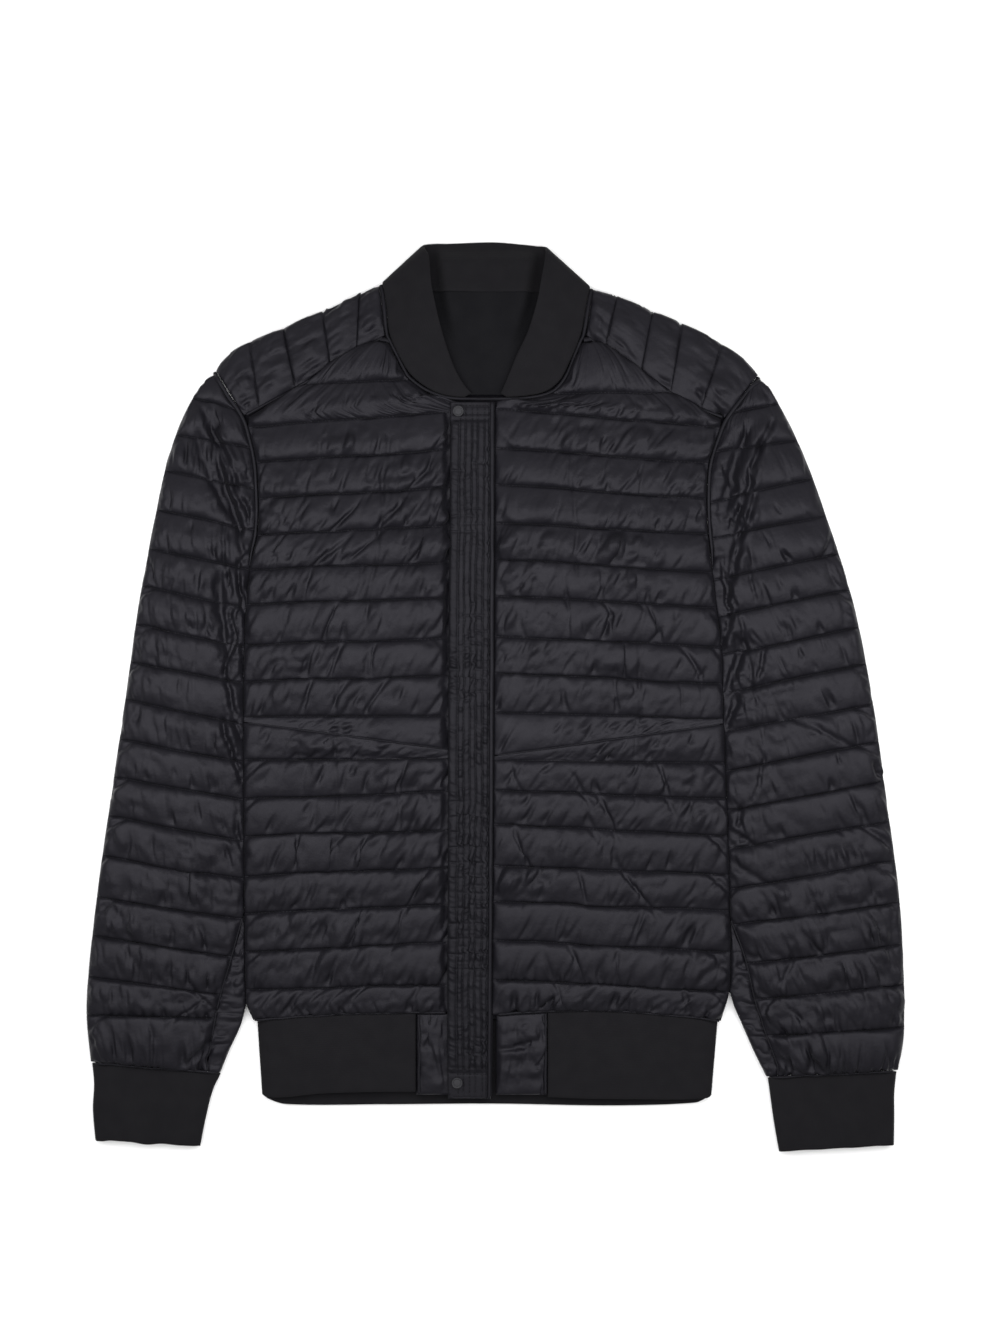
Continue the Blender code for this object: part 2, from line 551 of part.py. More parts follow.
def build_front(side_name, sign, body_edge, neck_rows, lines, waist):
    """The two panels of one front: above and below its waist seam."""
    end_kind = "lap" if sign < 0 else "seam"
    hem = lines[-1]
    hem_bow = HEM_BOW_RIGHT if sign < 0 else HEM_BOW_LEFT

    def add(rows, start, end, puff, kind, last_kind, bow=0.0):
        fractions = front_columns(last_kind, math.dist(start, end))
        rows.append(panel_row(start, end, puff, fractions, kind, last_kind, FULLNESS, bow))

    def add_lines(rows, group):
        for (side_y, front_y), puff in channel_stations(group):
            side = (read(body_edge, side_y), side_y)
            front = (front_edge_x(sign, front_y), front_y)
            kind = "fold" if side_y < ARMHOLE_FOOT - 2.0 else "seam"
            bow = hem_bow * smooth_step(1.0 - (side_y - hem.side_y) / HEM_BOW_REACH)
            add(rows, side, front, puff, kind, end_kind, bow)

    rows = []
    for row in neck_rows:
        puff = NECK_PUFFS.get(row.place, NECK_PUFF)
        add(rows, (row.side_x, row.side_y), (row.front_x, row.front_y), puff, "seam", "seam")
    upper_lines = list(lines[:UPPER_LINES]) + [QuiltLine(waist.side_y + SEAM_GAP, waist.front_y + SEAM_GAP)]
    add_lines(rows, upper_lines)
    wall("front_%s_upper" % side_name, [row[0] for row in rows], [row[1] for row in rows], NYLON)

    rows = []
    lower_lines = [QuiltLine(waist.side_y - SEAM_GAP, waist.front_y - SEAM_GAP)] + list(lines[UPPER_LINES:])
    add_lines(rows, lower_lines)
    wall("front_%s_lower" % side_name, [row[0] for row in rows], [row[1] for row in rows], NYLON)


def sleeve_inner_x(armhole, body_edge, crevice, sign, y):
    """The sleeve's inner edge: the armhole seam, then beside the body, then free of it."""
    if y <= crevice[0][0]:
        return read(crevice, y)
    gap = 2.0 * SEAM_GAP + CORD_ROOM * smooth_step((y - ARMHOLE_FOOT) / 14.0)
    seam = armhole if y >= armhole[-1][0] else body_edge
    return read(seam, y) + sign * gap


def build_sleeve(side_name, sign, outer, armhole, body_edge, crevice, seam, lines):
    """The upper and under pieces of one sleeve."""
    def inner_x(y):
        return sleeve_inner_x(armhole, body_edge, crevice, sign, y)

    def strip_width(y):
        """How much of the under sleeve shows beside its seam."""
        return max((read(seam, y) - inner_x(y)) * sign, 0.0) if y < seam[0][0] else 0.0

    # The inner edge runs straight from one quilting line to the next where it is a seam.
    strips = [strip_width(line.inner_y) for line in lines]
    rows = []
    for number, ((outer_y, inner_y), puff) in enumerate(channel_stations(lines)):
        start = (read(outer, outer_y), outer_y)
        edge_x = inner_x(inner_y)
        end_kind = "seam" if inner_y > ARMHOLE_FOOT else "fold"
        line = min(number // len(CHANNEL_ROWS), len(lines) - 2)
        if strips[line + 1] > 0.0:
            above, below = lines[line], lines[line + 1]
            t = (above.inner_y - inner_y) / (above.inner_y - below.inner_y)
            edge_x = mix(inner_x(above.inner_y) + sign * strips[line],
                         inner_x(below.inner_y) + sign * strips[line + 1], t)
            end_kind = "seam" if strips[line] > 0.0 else "fold"
        fullness = SLEEVE_FULLNESS * smooth_step((SHOULDER_Y - outer_y) / SHOULDER_REACH)
        rows.append(panel_row(start, (edge_x, inner_y), puff, SLEEVE_SHARES, "fold", end_kind, fullness))
    wall("sleeve_%s_upper" % side_name, [row[0] for row in rows], [row[1] for row in rows], NYLON)

    outer_rows = []
    inner_rows = []
    for outer_y, inner_y in lines:
        fold = read(outer, outer_y)
        edge = inner_x(inner_y)
        strip = max(strip_width(inner_y) - 2.0 * SEAM_GAP, 0.0)
        climb = min(strip, STRIP_CLIMB)
        length = abs(edge - fold)

        def at(distance, z):
            t = 1.0 - distance / length
            return (mix(fold, edge, t), mix(outer_y, inner_y, t), z)

        def on_strip(distance, z):
            return (edge + sign * distance, inner_y, z)

        def near_fold(distance, z):
            return at(length - distance, z)

        reach = min(UNDER_REACH, 0.3 * length)
        outer_rows.append([
            near_fold(0.0, LOWER_TOP - 0.4), near_fold(0.25 * reach, 2.0), near_fold(reach, 0.0),
            at(0.5 * length, 0.0), at(reach, 0.0), at(0.2 * reach, 2.2),
            on_strip(0.0, 5.4 + 0.5 * climb), on_strip(0.3 * strip, 6.6 + climb),
            on_strip(strip, LOWER_TOP + climb),
        ])
        inner_rows.append([
            near_fold(0.08 * reach, LOWER_TOP), near_fold(0.3 * reach, LOWER_TOP),
            near_fold(reach, LOWER_TOP), at(0.5 * length, LOWER_TOP),
            at(reach + 0.9 * strip, LOWER_TOP - 0.1), at(0.5 * reach + 0.3 * strip, LOWER_TOP - 0.1),
            at(0.38 * reach + 0.1 * strip, LOWER_TOP + 0.04 * climb),
            at(0.26 * reach + 0.4 * strip, LOWER_TOP + 0.08 * climb),
            on_strip(strip + 0.14 * (reach - 2.2 * climb), LOWER_TOP + 0.12 * climb),
        ])
    wall("sleeve_%s_under" % side_name, outer_rows, inner_rows, NYLON)


def build_back():
    """The back: flat where it rests, rounded up at its edges."""
    rows = [((right_x, y), (left_x, y)) for y, right_x, left_x in BACK_NECK_ROWS]
    for right, left in zip(YOKE_LINES_RIGHT, YOKE_LINES_LEFT):
        rows.append(((right.back_x, right.back_y - SEAM_GAP), (left.back_x, left.back_y - SEAM_GAP)))
    for y in BACK_SIDE_HEIGHTS:
        rows.append(((read(BODY_EDGE_RIGHT, y), y), (read(BODY_EDGE_LEFT, y), y)))
    fractions = (0.0, 0.006, 0.022, 0.16, 0.5, 0.84, 0.978, 0.994, 1.0)
    heights = (LOWER_TOP - 0.4, 2.0, 0.0, 0.0, 0.0, 0.0, 0.0, 2.0, LOWER_TOP - 0.4)
    under = []
    over = []
    for (right_x, right_y), (left_x, left_y) in rows:
        start = (right_x + SEAM_GAP, right_y)
        end = (left_x - SEAM_GAP, left_y)
        under.append([(*between(start, end, t), z) for t, z in zip(fractions, heights)])
        over.append([(*between(start, end, t), LOWER_TOP) for t in fractions])
    wall("back", under, over, NYLON)


def build_yoke(side_name, lines):
    """A shoulder yoke: up from the front seam, over the fold and under to the back seam."""
    outer_rows = []
    inner_rows = []
    for number, (line, puff) in enumerate(channel_stations(lines)):
        line = YokeLine(*line)
        channel, step = divmod(number, len(CHANNEL_ROWS))
        bulge = lines[channel].bulge * math.sin(math.pi * CHANNEL_ROWS[step][0])
        seam = (line.seam_x, line.seam_y)
        away = (0.5 * math.copysign(bulge, line.seam_x), 0.85 * bulge)
        fold = (line.fold_x + away[0], line.fold_y + away[1])
        back = (line.back_x, line.back_y)
        outer = []
        inner = []
        for spot in YOKE_SPOTS:
            x, y = between(seam, fold, spot.place)
            outer.append((x, y, UPPER_LOW + STITCH_WALL + spot.lift + YOKE_PUFF * puff * spot.puff))
            inner.append((*between(seam, fold, min(spot.place, YOKE_HOLLOW_END)), UPPER_LOW))
        outer.append((*between(seam, fold, 0.97), UPPER_LOW + 0.6 + 1.4 * puff))
        outer.append((*fold, 6.0))
        outer.append((*between(fold, back, 0.07), 2.0))
        outer.append((*between(fold, back, 0.28), 0.0))
        outer.append((*back, 0.0))
        inner.append((*between(seam, fold, 0.84), UPPER_LOW - 0.1))
        inner.append((*between(seam, fold, 0.86), 0.5 * (UPPER_LOW + LOWER_TOP)))
        inner.append((*between(fold, back, 0.18), LOWER_TOP))
        inner.append((*between(fold, back, 0.4), LOWER_TOP))
        inner.append((*back, LOWER_TOP))
        outer_rows.append(outer)
        inner_rows.append(inner)
    wall("yoke_%s" % side_name, outer_rows, inner_rows, NYLON)


# ---------------------------------------------------------------- knit trim
def build_collar():
    """The knit collar: one strip, folded at both sides of the neck."""
    outer_rows = []
    inner_rows = []
    for station in COLLAR_STATIONS:
        outer = []
        inner = []
        for t, share in COLLAR_SPOTS:
            x = mix(station.seam_x, station.edge_x, t)
            y = mix(station.seam_y, station.edge_y, t)
            z = mix(station.seam_z, station.edge_z, t)
            roll = 0.5 * COLLAR_WALL * share
            middle = z + 0.5 * COLLAR_WALL * abs(station.lean)
            if station.lean >= 0.9:
                middle = z
            outwards = math.sqrt(1.0 - station.lean**2)
            side = -1.0 if x < -8.0 else 1.0
            shift = (0.7 * roll - FOLD_HOLLOW * math.sin(math.pi * t)) * outwards
            thick = 1.5 * roll * outwards
            outer.append((x + side * shift * 0.6, y + shift * 0.6, middle + station.lean * roll))
            inner.append((x + side * (shift * 0.6 - thick), y + shift * 0.6 - thick,
                          middle - station.lean * roll))
        outer_rows.append(outer)
        inner_rows.append(inner)
    wall("collar", outer_rows, inner_rows, KNIT)


def build_hem_band():
    """The knit hem band: one strip, folded at both sides."""
    outer_rows = []
    inner_rows = []
    for station in HEM_STATIONS:
        inwards = station.inset if station.x < 0 else -station.inset
        outer = []
        inner = []
        middle = 0.5 * (station.z_out + station.z_in)
        top_y = BACK_HEM_Y - 2.0 * SEAM_GAP
        if station.side != "back":
            top_y = hem_seam_y(-1 if station.side == "right" else 1, station.x) - 2.0 * SEAM_GAP
        for t, share in HEM_SPOTS:
            y = mix(top_y, station.low_y, t)
            lean = t * (HEM_LEAN_RIGHT if station.x < 0 else HEM_LEAN_LEFT) if station.inset else 0.0
            outer.append((station.x + lean, y, mix(middle, station.z_out, share)))
            inner.append((station.x + lean + inwards, y, mix(middle, station.z_in, share)))
        outer_rows.append(outer)
        inner_rows.append(inner)
    wall("hem_band", outer_rows, inner_rows, KNIT)


def build_cuff(side_name, rows):
    """A knit cuff: a flattened tube, open at the hand."""
    outer_rows = []
    inner_rows = []
    for row in rows:
        outer_end = (row.outer_x, row.outer_y)
        inner_end = (row.inner_x, row.inner_y)
        outer_rows.append([(*between(outer_end, inner_end, spot.place), spot.z)
                           for spot in CUFF_SECTION])
        inner_rows.append([(*between(outer_end, inner_end, spot.hollow_place), spot.hollow_z)
                           for spot in CUFF_SECTION])
    ring_wall("cuff_%s" % side_name, outer_rows, inner_rows, KNIT)


def build_lining():
    """The inner back where it shows, inside the collar."""
    over = []
    under = []
    base = LOWER_TOP + SEAM_GAP
    for y, right_x, left_x in LINING_ROWS:
        over.append([(mix(right_x, left_x, t), y, base + LINING_WALL) for t in (0.0, 0.5, 1.0)])
        under.append([(mix(right_x, left_x, t), y, base) for t in (0.0, 0.5, 1.0)])
    wall("lining_back", over, under, LINING)


# ---------------------------------------------------------------- placket, tabs, snaps
def build_placket():
    """The snap placket, rounded at its free edge, and the binding along its seam."""
    over = []
    under = []
    for y, free_x, bound_x, _ in PLACKET_ROWS:
        heights = (PLACKET_TOP - 1.2, PLACKET_TOP, PLACKET_TOP, PLACKET_TOP - 0.3)
        over.append([(mix(free_x, bound_x, t), y, z) for t, z in zip((0.0, 0.06, 0.5, 1.0), heights)])
        under.append([(mix(free_x, bound_x, t), y, PLACKET_LOW) for t in (0.0, 0.06, 0.5, 1.0)])
    wall("placket", over, under, NYLON)

    over = []
    under = []
    for y, _, bound_x, seam_x in PLACKET_ROWS:
        start = bound_x + SEAM_GAP
        end = seam_x
        heights = (PLACKET_TOP - 1.0, PLACKET_TOP + 0.7, PLACKET_TOP + 0.7, PLACKET_TOP - 1.0)
        over.append([(mix(start, end, t), y, z) for t, z in zip((0.0, 0.3, 0.7, 1.0), heights)])
        under.append([(mix(start, end, t), y, PLACKET_LOW) for t in (0.0, 0.3, 0.7, 1.0)])
    wall("placket_binding", over, under, NYLON)


def build_hem_tabs():
    """The quilted tabs between the knit band and the placket."""
    # (place down the tab, share of the puff): two low channels
    profile = ((0.0, 0.0), (0.14, 1.0), (0.37, 1.0), (0.5, 0.1), (0.63, 1.0), (0.87, 1.0), (1.0, 0.0))
    for name, sign, start, end, lap in TABS:
        over = []
        under = []
        for place, rise in profile:
            row_over = []
            row_under = []
            for t in (0.0, 0.06, 0.22, 0.4, 0.7, 1.0):
                x = mix(start, end, t)
                y = mix(hem_seam_y(sign, x) - 2.0 * SEAM_GAP, TAB_LOW_Y, place)
                room = min(x - start, end - x - lap)
                puff = TAB_PUFF * smooth_step(room / 8.0)
                row_over.append((x, y, LAP_TOP - 0.2 + rise * puff))
                row_under.append((x, y, UPPER_LOW))
            over.append(row_over)
            under.append(row_under)
        wall(name, over, under, NYLON)


def build_snaps():
    """The two snap caps: low domed discs."""
    profile = ((0.0, SNAP_HEIGHT), (0.5, SNAP_HEIGHT), (0.66, SNAP_HEIGHT - 0.35), (0.82, SNAP_HEIGHT),
               (1.0, SNAP_HEIGHT - 0.8), (1.0, 0.0))
    for name, (x, y) in SNAP_PLACES.items():
        work = bmesh.new()
        base = PLACKET_TOP + SEAM_GAP
        spots = [work.verts.new((radius * SNAP_RADIUS * MM, 0.0, height * MM)) for radius, height in profile]
        edges = [work.edges.new((a, b)) for a, b in zip(spots, spots[1:])]
        bmesh.ops.spin(work, geom=spots + edges, cent=(0, 0, 0), axis=(0, 0, 1), dvec=(0, 0, 0),
                       angle=2 * math.pi, steps=16, use_merge=True)
        bmesh.ops.remove_doubles(work, verts=work.verts, dist=0.00001)
        rim = [edge for edge in work.edges if edge.is_boundary]
        bmesh.ops.contextual_create(work, geom=rim)
        bmesh.ops.recalc_face_normals(work, faces=work.faces)
        mesh = bpy.data.meshes.new(name)
        work.to_mesh(mesh)
        work.free()
        mesh.materials.append(material(SNAP))
        made = bpy.data.objects.new(name, mesh)
        made.location = (x * MM, y * MM, base * MM)
        bpy.context.scene.collection.objects.link(made)


def build_piping():
    """The cords in the neck seam and in the armhole seams."""
    cord("neck_piping", NECK_CORD, PIPING_RADIUS, NYLON)
    for side_name, sign, armhole, body_edge in (("right", -1, ARMHOLE_RIGHT, BODY_EDGE_RIGHT),
                                                ("left", 1, ARMHOLE_LEFT, BODY_EDGE_LEFT)):
        middle = sign * (SEAM_GAP + 0.5 * CORD_ROOM)
        top_y = armhole[0][0]
        points = [(read(armhole, y) + middle, y, CORD_Z) for y in (top_y - 9.0, 262.0, 250.0)]
        points += [(read(body_edge, y) + middle, y, CORD_Z) for y in ARMHOLE_CORD_HEIGHTS]
        cord("armhole_piping_%s" % side_name, points, PIPING_RADIUS, NYLON)


def build_jacket():
    """Every piece of the jacket."""
    remove_everything()
    build_back()
    build_front("right", -1, BODY_EDGE_RIGHT, NECK_ROWS_RIGHT, FRONT_LINES_RIGHT, WAIST_RIGHT)
    build_front("left", 1, BODY_EDGE_LEFT, NECK_ROWS_LEFT, FRONT_LINES_LEFT, WAIST_LEFT)
    build_sleeve("right", -1, SLEEVE_OUTER_RIGHT, ARMHOLE_RIGHT, BODY_EDGE_RIGHT, CREVICE_RIGHT,
                 SLEEVE_SEAM_RIGHT, SLEEVE_LINES_RIGHT)
    build_sleeve("left", 1, SLEEVE_OUTER_LEFT, ARMHOLE_LEFT, BODY_EDGE_LEFT, CREVICE_LEFT,
                 SLEEVE_SEAM_LEFT, SLEEVE_LINES_LEFT)
    build_yoke("right", YOKE_LINES_RIGHT)
    build_yoke("left", YOKE_LINES_LEFT)
    build_collar()
    build_hem_band()
    build_cuff("right", CUFF_RIGHT)
    build_cuff("left", CUFF_LEFT)
    build_lining()
    build_placket()
    build_hem_tabs()
    build_snaps()
    build_piping()


build_jacket()
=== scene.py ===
"""The looks of the quilted bomber jacket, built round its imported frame.

Lengths in the tables are millimetres in the frame of the part: the jacket lies on
z = 0 with its collar towards +Y, the wearer's right at -X and the left at +X.
"""

import math
from collections import namedtuple

import bpy
import numpy as np
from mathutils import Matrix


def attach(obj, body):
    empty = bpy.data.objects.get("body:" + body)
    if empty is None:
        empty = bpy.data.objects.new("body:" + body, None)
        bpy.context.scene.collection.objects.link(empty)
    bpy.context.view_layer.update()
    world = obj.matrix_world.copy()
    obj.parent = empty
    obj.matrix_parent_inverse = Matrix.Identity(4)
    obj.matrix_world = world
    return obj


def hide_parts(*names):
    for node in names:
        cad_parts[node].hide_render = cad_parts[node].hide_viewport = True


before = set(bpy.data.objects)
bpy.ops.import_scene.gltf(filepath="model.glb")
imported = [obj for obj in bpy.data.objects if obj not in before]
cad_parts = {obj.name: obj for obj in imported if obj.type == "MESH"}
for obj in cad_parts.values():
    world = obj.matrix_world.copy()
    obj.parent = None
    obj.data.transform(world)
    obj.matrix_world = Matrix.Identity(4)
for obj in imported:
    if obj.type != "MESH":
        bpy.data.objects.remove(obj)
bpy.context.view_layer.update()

MM = 0.001


def rows_of(kind, *rows):
    """A table of named rows."""
    return tuple(kind(*row) for row in rows)


# ---------------------------------------------------------------- sizes of the part
LOWER_TOP = 7.3
UPPER_LOW = 8.0
STITCH_WALL = 3.0
SEAM_GAP = 0.3
CLOSE_GAP = 0.1
FOLD_REACH = 17.0
FOLD_RIM = 1.4
LAP_REACH = 41.6
COLLAR_WALL = 3.2
LINING_WALL = 1.4
UNDERLAP_WALL = 4.2
PLACKET_WALL = 2.8
PIPING_RADIUS = 1.25
CORD_ROOM = 2.9
ARMHOLE_FOOT = 112.0
SNAP_RADIUS = 4.7
HEM_BOW_RIGHT = 3.6
HEM_BOW_LEFT = 6.2
HEM_BOW_REACH = 30.0
UPPER_LINES = 9
BACK_HEM_Y = -281.0
HEM_LEAN_RIGHT = 4.2
HEM_LEAN_LEFT = -5.4
TAB_LOW_Y = -346.6
LAP_TOP = UPPER_LOW + UNDERLAP_WALL
PLACKET_LOW = LAP_TOP + SEAM_GAP
PLACKET_TOP = PLACKET_LOW + PLACKET_WALL

# ---------------------------------------------------------------- outline tables
# Each outline is a table of (y, x), from the collar down, as in the part.
BODY_EDGE_RIGHT = (
    (242.7, -217.8), (210.0, -209.4), (180.0, -206.8), (144.0, -207.2), (112.0, -214.0),
    (67.0, -217.9), (-2.0, -219.7), (-176.0, -218.8), (-262.0, -217.6), (-270.0, -216.2),
    (-277.5, -212.9), (-283.0, -210.4),
)
BODY_EDGE_LEFT = (
    (241.0, 198.6), (204.0, 186.0), (163.0, 184.0), (128.0, 186.6), (84.0, 191.8),
    (41.0, 196.8), (-20.0, 198.8), (-90.0, 201.4), (-176.0, 204.0), (-254.0, 203.8),
    (-284.0, 195.8),
)
ARMHOLE_RIGHT = ((284.5, -244.9), (264.0, -233.4), (242.7, -217.8))
ARMHOLE_LEFT = ((280.1, 230.1), (258.0, 212.5), (241.0, 198.6))
SLEEVE_OUTER_RIGHT = (
    (284.5, -244.9), (258.4, -264.9), (214.9, -283.2), (171.4, -293.6), (84.4, -310.2),
    (-2.6, -322.6), (-89.6, -335.4), (-176.6, -347.6), (-268.0, -356.3), (-318.4, -352.6),
)
SLEEVE_OUTER_LEFT = (
    (280.1, 230.1), (258.4, 244.9), (214.9, 266.7), (171.4, 283.2), (84.4, 311.0),
    (-2.6, 328.4), (-89.6, 340.6), (-176.6, 351.9), (-262.0, 356.3), (-298.0, 355.4),
    (-326.2, 350.4),
)
# Below these heights the sleeve's inner edge leaves the body.
CREVICE_RIGHT = ((-268.0, -217.4), (-284.5, -221.6), (-298.4, -227.5), (-312.3, -234.5), (-328.0, -240.2))
CREVICE_LEFT = ((-258.0, 204.6), (-270.6, 208.4), (-284.5, 214.5), (-298.4, 220.5), (-312.3, 226.8),
                (-332.0, 236.6))
# The seam of the sleeve that comes round onto its upper side above the cuff.
SLEEVE_SEAM_RIGHT = ((-188.0, -219.6), (-229.0, -231.0), (-270.0, -242.3), (-319.0, -251.0))
SLEEVE_SEAM_LEFT = ((-190.0, 203.6), (-225.3, 217.0), (-269.0, 227.6), (-322.0, 246.2))

QuiltLine = namedtuple("QuiltLine", "side_y front_y")
SleeveLine = namedtuple("SleeveLine", "outer_y inner_y")
YokeLine = namedtuple("YokeLine", "seam_x seam_y fold_x fold_y back_x back_y bulge")
BandStation = namedtuple("BandStation", "x side low_y z_out z_in inset")
CollarStation = namedtuple("CollarStation", "seam_x seam_y edge_x edge_y seam_z edge_z lean")

# The top of each front, from the point at the neck and yoke to the first full channel.
# place: quilting line number; side: end on the yoke seam; front: end on the neck seam.
NeckRow = namedtuple("NeckRow", "place side_x side_y front_x front_y")
NECK_ROWS_RIGHT = rows_of(NeckRow,
    (-1.0, -103.0, 308.5, -93.2, 308.0), (-0.7, -118.0, 300.0, -88.6, 298.5),
    (-0.3, -146.0, 283.2, -82.0, 285.5), (0.0, -168.3, 270.6, -75.6, 276.2),
    (0.35, -190.0, 258.6, -59.6, 265.0), (0.75, -214.6, 243.6, -41.0, 259.0))
NECK_ROWS_LEFT = rows_of(NeckRow,
    (-1.0, 86.6, 307.8, 75.2, 308.2), (-0.7, 101.0, 298.2, 70.6, 297.0),
    (-0.3, 128.0, 280.2, 61.6, 276.6), (0.0, 153.0, 264.2, 50.0, 264.4),
    (0.35, 174.0, 252.6, 28.0, 258.8), (0.75, 196.0, 241.8, 1.6, 258.0))
FRONT_LINES_RIGHT = rows_of(QuiltLine,
    (234.9, 250.6), (204.0, 217.5), (172.3, 184.9), (140.5, 151.4), (110.5, 118.3), (80.5, 87.0),
    (45.2, 52.6), (13.1, 20.4), (-17.6, -16.5), (-54.5, -53.6), (-88.7, -80.9), (-121.8, -114.4),
    (-156.2, -147.0), (-188.8, -179.2), (-221.9, -211.4), (-254.9, -249.7), (-281.6, -276.4))
FRONT_LINES_LEFT = rows_of(QuiltLine,
    (234.0, 250.6), (203.1, 216.6), (172.3, 184.9), (141.3, 151.4), (108.3, 120.1), (77.8, 87.9),
    (43.5, 53.1), (11.3, 20.9), (-19.0, -13.6), (-57.4, -55.0), (-88.7, -80.9), (-120.9, -110.5),
    (-154.9, -146.6), (-186.2, -177.9), (-222.0, -211.4), (-257.0, -246.2), (-282.4, -277.0))
# The waist seam crosses one channel: it starts at the side near line UPPER_LINES and
# ends at the placket near the next line.
WAIST_RIGHT = QuiltLine(-22.0, -50.6)
WAIST_LEFT = QuiltLine(-23.4, -51.4)

SLEEVE_LINES_RIGHT = rows_of(SleeveLine,
    (283.4, 277.0), (260.1, 250.5), (227.9, 216.6), (196.6, 181.0), (162.7, 145.3), (128.8, 110.5),
    (96.6, 77.4), (63.5, 43.5), (30.5, 12.2), (-1.7, -23.5), (-36.5, -56.6), (-69.6, -89.6),
    (-103.5, -125.3), (-138.3, -158.3), (-174.0, -193.1), (-207.9, -226.2), (-243.6, -259.3),
    (-277.5, -279.3), (-317.6, -327.0))
SLEEVE_LINES_LEFT = rows_of(SleeveLine,
    (279.2, 272.0), (255.0, 247.0), (222.7, 213.2), (189.7, 169.1), (157.5, 138.0), (124.4, 101.8),
    (93.1, 70.0), (60.5, 36.5), (28.7, 3.5), (-6.1, -30.5), (-39.2, -64.8), (-73.1, -98.7),
    (-108.8, -132.2), (-142.7, -167.5), (-179.2, -198.4), (-215.8, -232.0), (-250.6, -263.2),
    (-287.5, -295.0), (-325.0, -330.6))

# Each yoke, a row for each line of its quilting, from the neck to the armhole:
# end on the front seam, place on the shoulder fold, end on the back seam, and how far
# the fold of the channel after it stands out.
YOKE_LINES_RIGHT = rows_of(YokeLine,
    (-96.4, 314.8, -101.4, 359.6, -100.4, 322.0, 0.0),
    (-121.0, 300.6, -118.4, 353.2, -120.0, 313.0, 0.0),
    (-143.4, 287.4, -152.0, 336.4, -150.0, 297.0, 0.0),
    (-173.8, 269.6, -185.4, 321.4, -182.0, 282.0, 0.5),
    (-205.6, 252.4, -214.6, 309.8, -208.0, 270.0, 2.8),
    (-219.2, 245.2, -244.4, 285.4, -228.0, 259.6, 0.0))
YOKE_LINES_LEFT = rows_of(YokeLine,
    (79.2, 314.8, 85.0, 355.8, 84.0, 319.0, 0.0), (95.6, 303.2, 107.0, 349.6, 106.0, 311.0, 0.0),
    (126.4, 282.8, 137.8, 336.4, 136.0, 296.0, 0.2), (152.4, 265.2, 163.6, 325.8, 162.0, 284.0, 0.8),
    (178.6, 251.4, 198.0, 307.6, 190.0, 268.0, 2.2), (199.8, 243.4, 229.2, 281.0, 210.0, 257.4, 0.0))
# The back below its neck seam: (y, right end, left end). The yokes' back seams follow,
# then its sides at these heights.
BACK_NECK_ROWS = ((351.2, -74.0, 62.0), (338.0, -91.0, 78.0))
BACK_SIDE_HEIGHTS = (240.0, 225.0, 210.0, 180.0, 144.0, 112.0, 67.0, 0.0, -88.0, -176.0, -230.0,
                     -262.0, -281.0)

# The hem band, from its end at the right tab round the back to the left tab.
# side: which seam its top edge follows; inset: how far its inner face stands in.
HEM_STATIONS = rows_of(BandStation,
    (-69.6, "right", -343.8, 12.0, 8.0, 0.0), (-110.0, "right", -344.0, 12.2, 8.0, 0.0),
    (-152.0, "right", -345.4, 12.2, 8.0, 0.0), (-186.0, "right", -348.8, 11.8, 8.0, 0.0),
    (-199.0, "right", -348.6, 10.6, 7.6, 0.0), (-207.8, "right", -346.4, 6.2, 6.4, 4.2),
    (-199.0, "back", -350.4, 1.2, 4.8, 0.0), (-183.0, "back", -355.6, 0.0, 4.2, 0.0),
    (-100.0, "back", -355.8, 0.0, 4.2, 0.0), (0.0, "back", -355.2, 0.0, 4.2, 0.0),
    (100.0, "back", -356.8, 0.0, 4.2, 0.0), (174.0, "back", -354.4, 0.0, 4.2, 0.0),
    (184.0, "back", -350.0, 1.2, 4.8, 0.0), (193.8, "left", -346.4, 6.2, 6.4, 4.2),
    (184.6, "left", -349.4, 10.6, 7.6, 0.0), (161.0, "left", -350.6, 12.0, 8.0, 0.0),
    (130.0, "left", -350.4, 12.2, 8.0, 0.0), (104.0, "left", -350.2, 12.2, 8.0, 0.0),
    (74.0, "left", -349.6, 12.2, 8.0, 0.0), (45.6, "left", -348.4, 12.0, 8.0, 0.0))

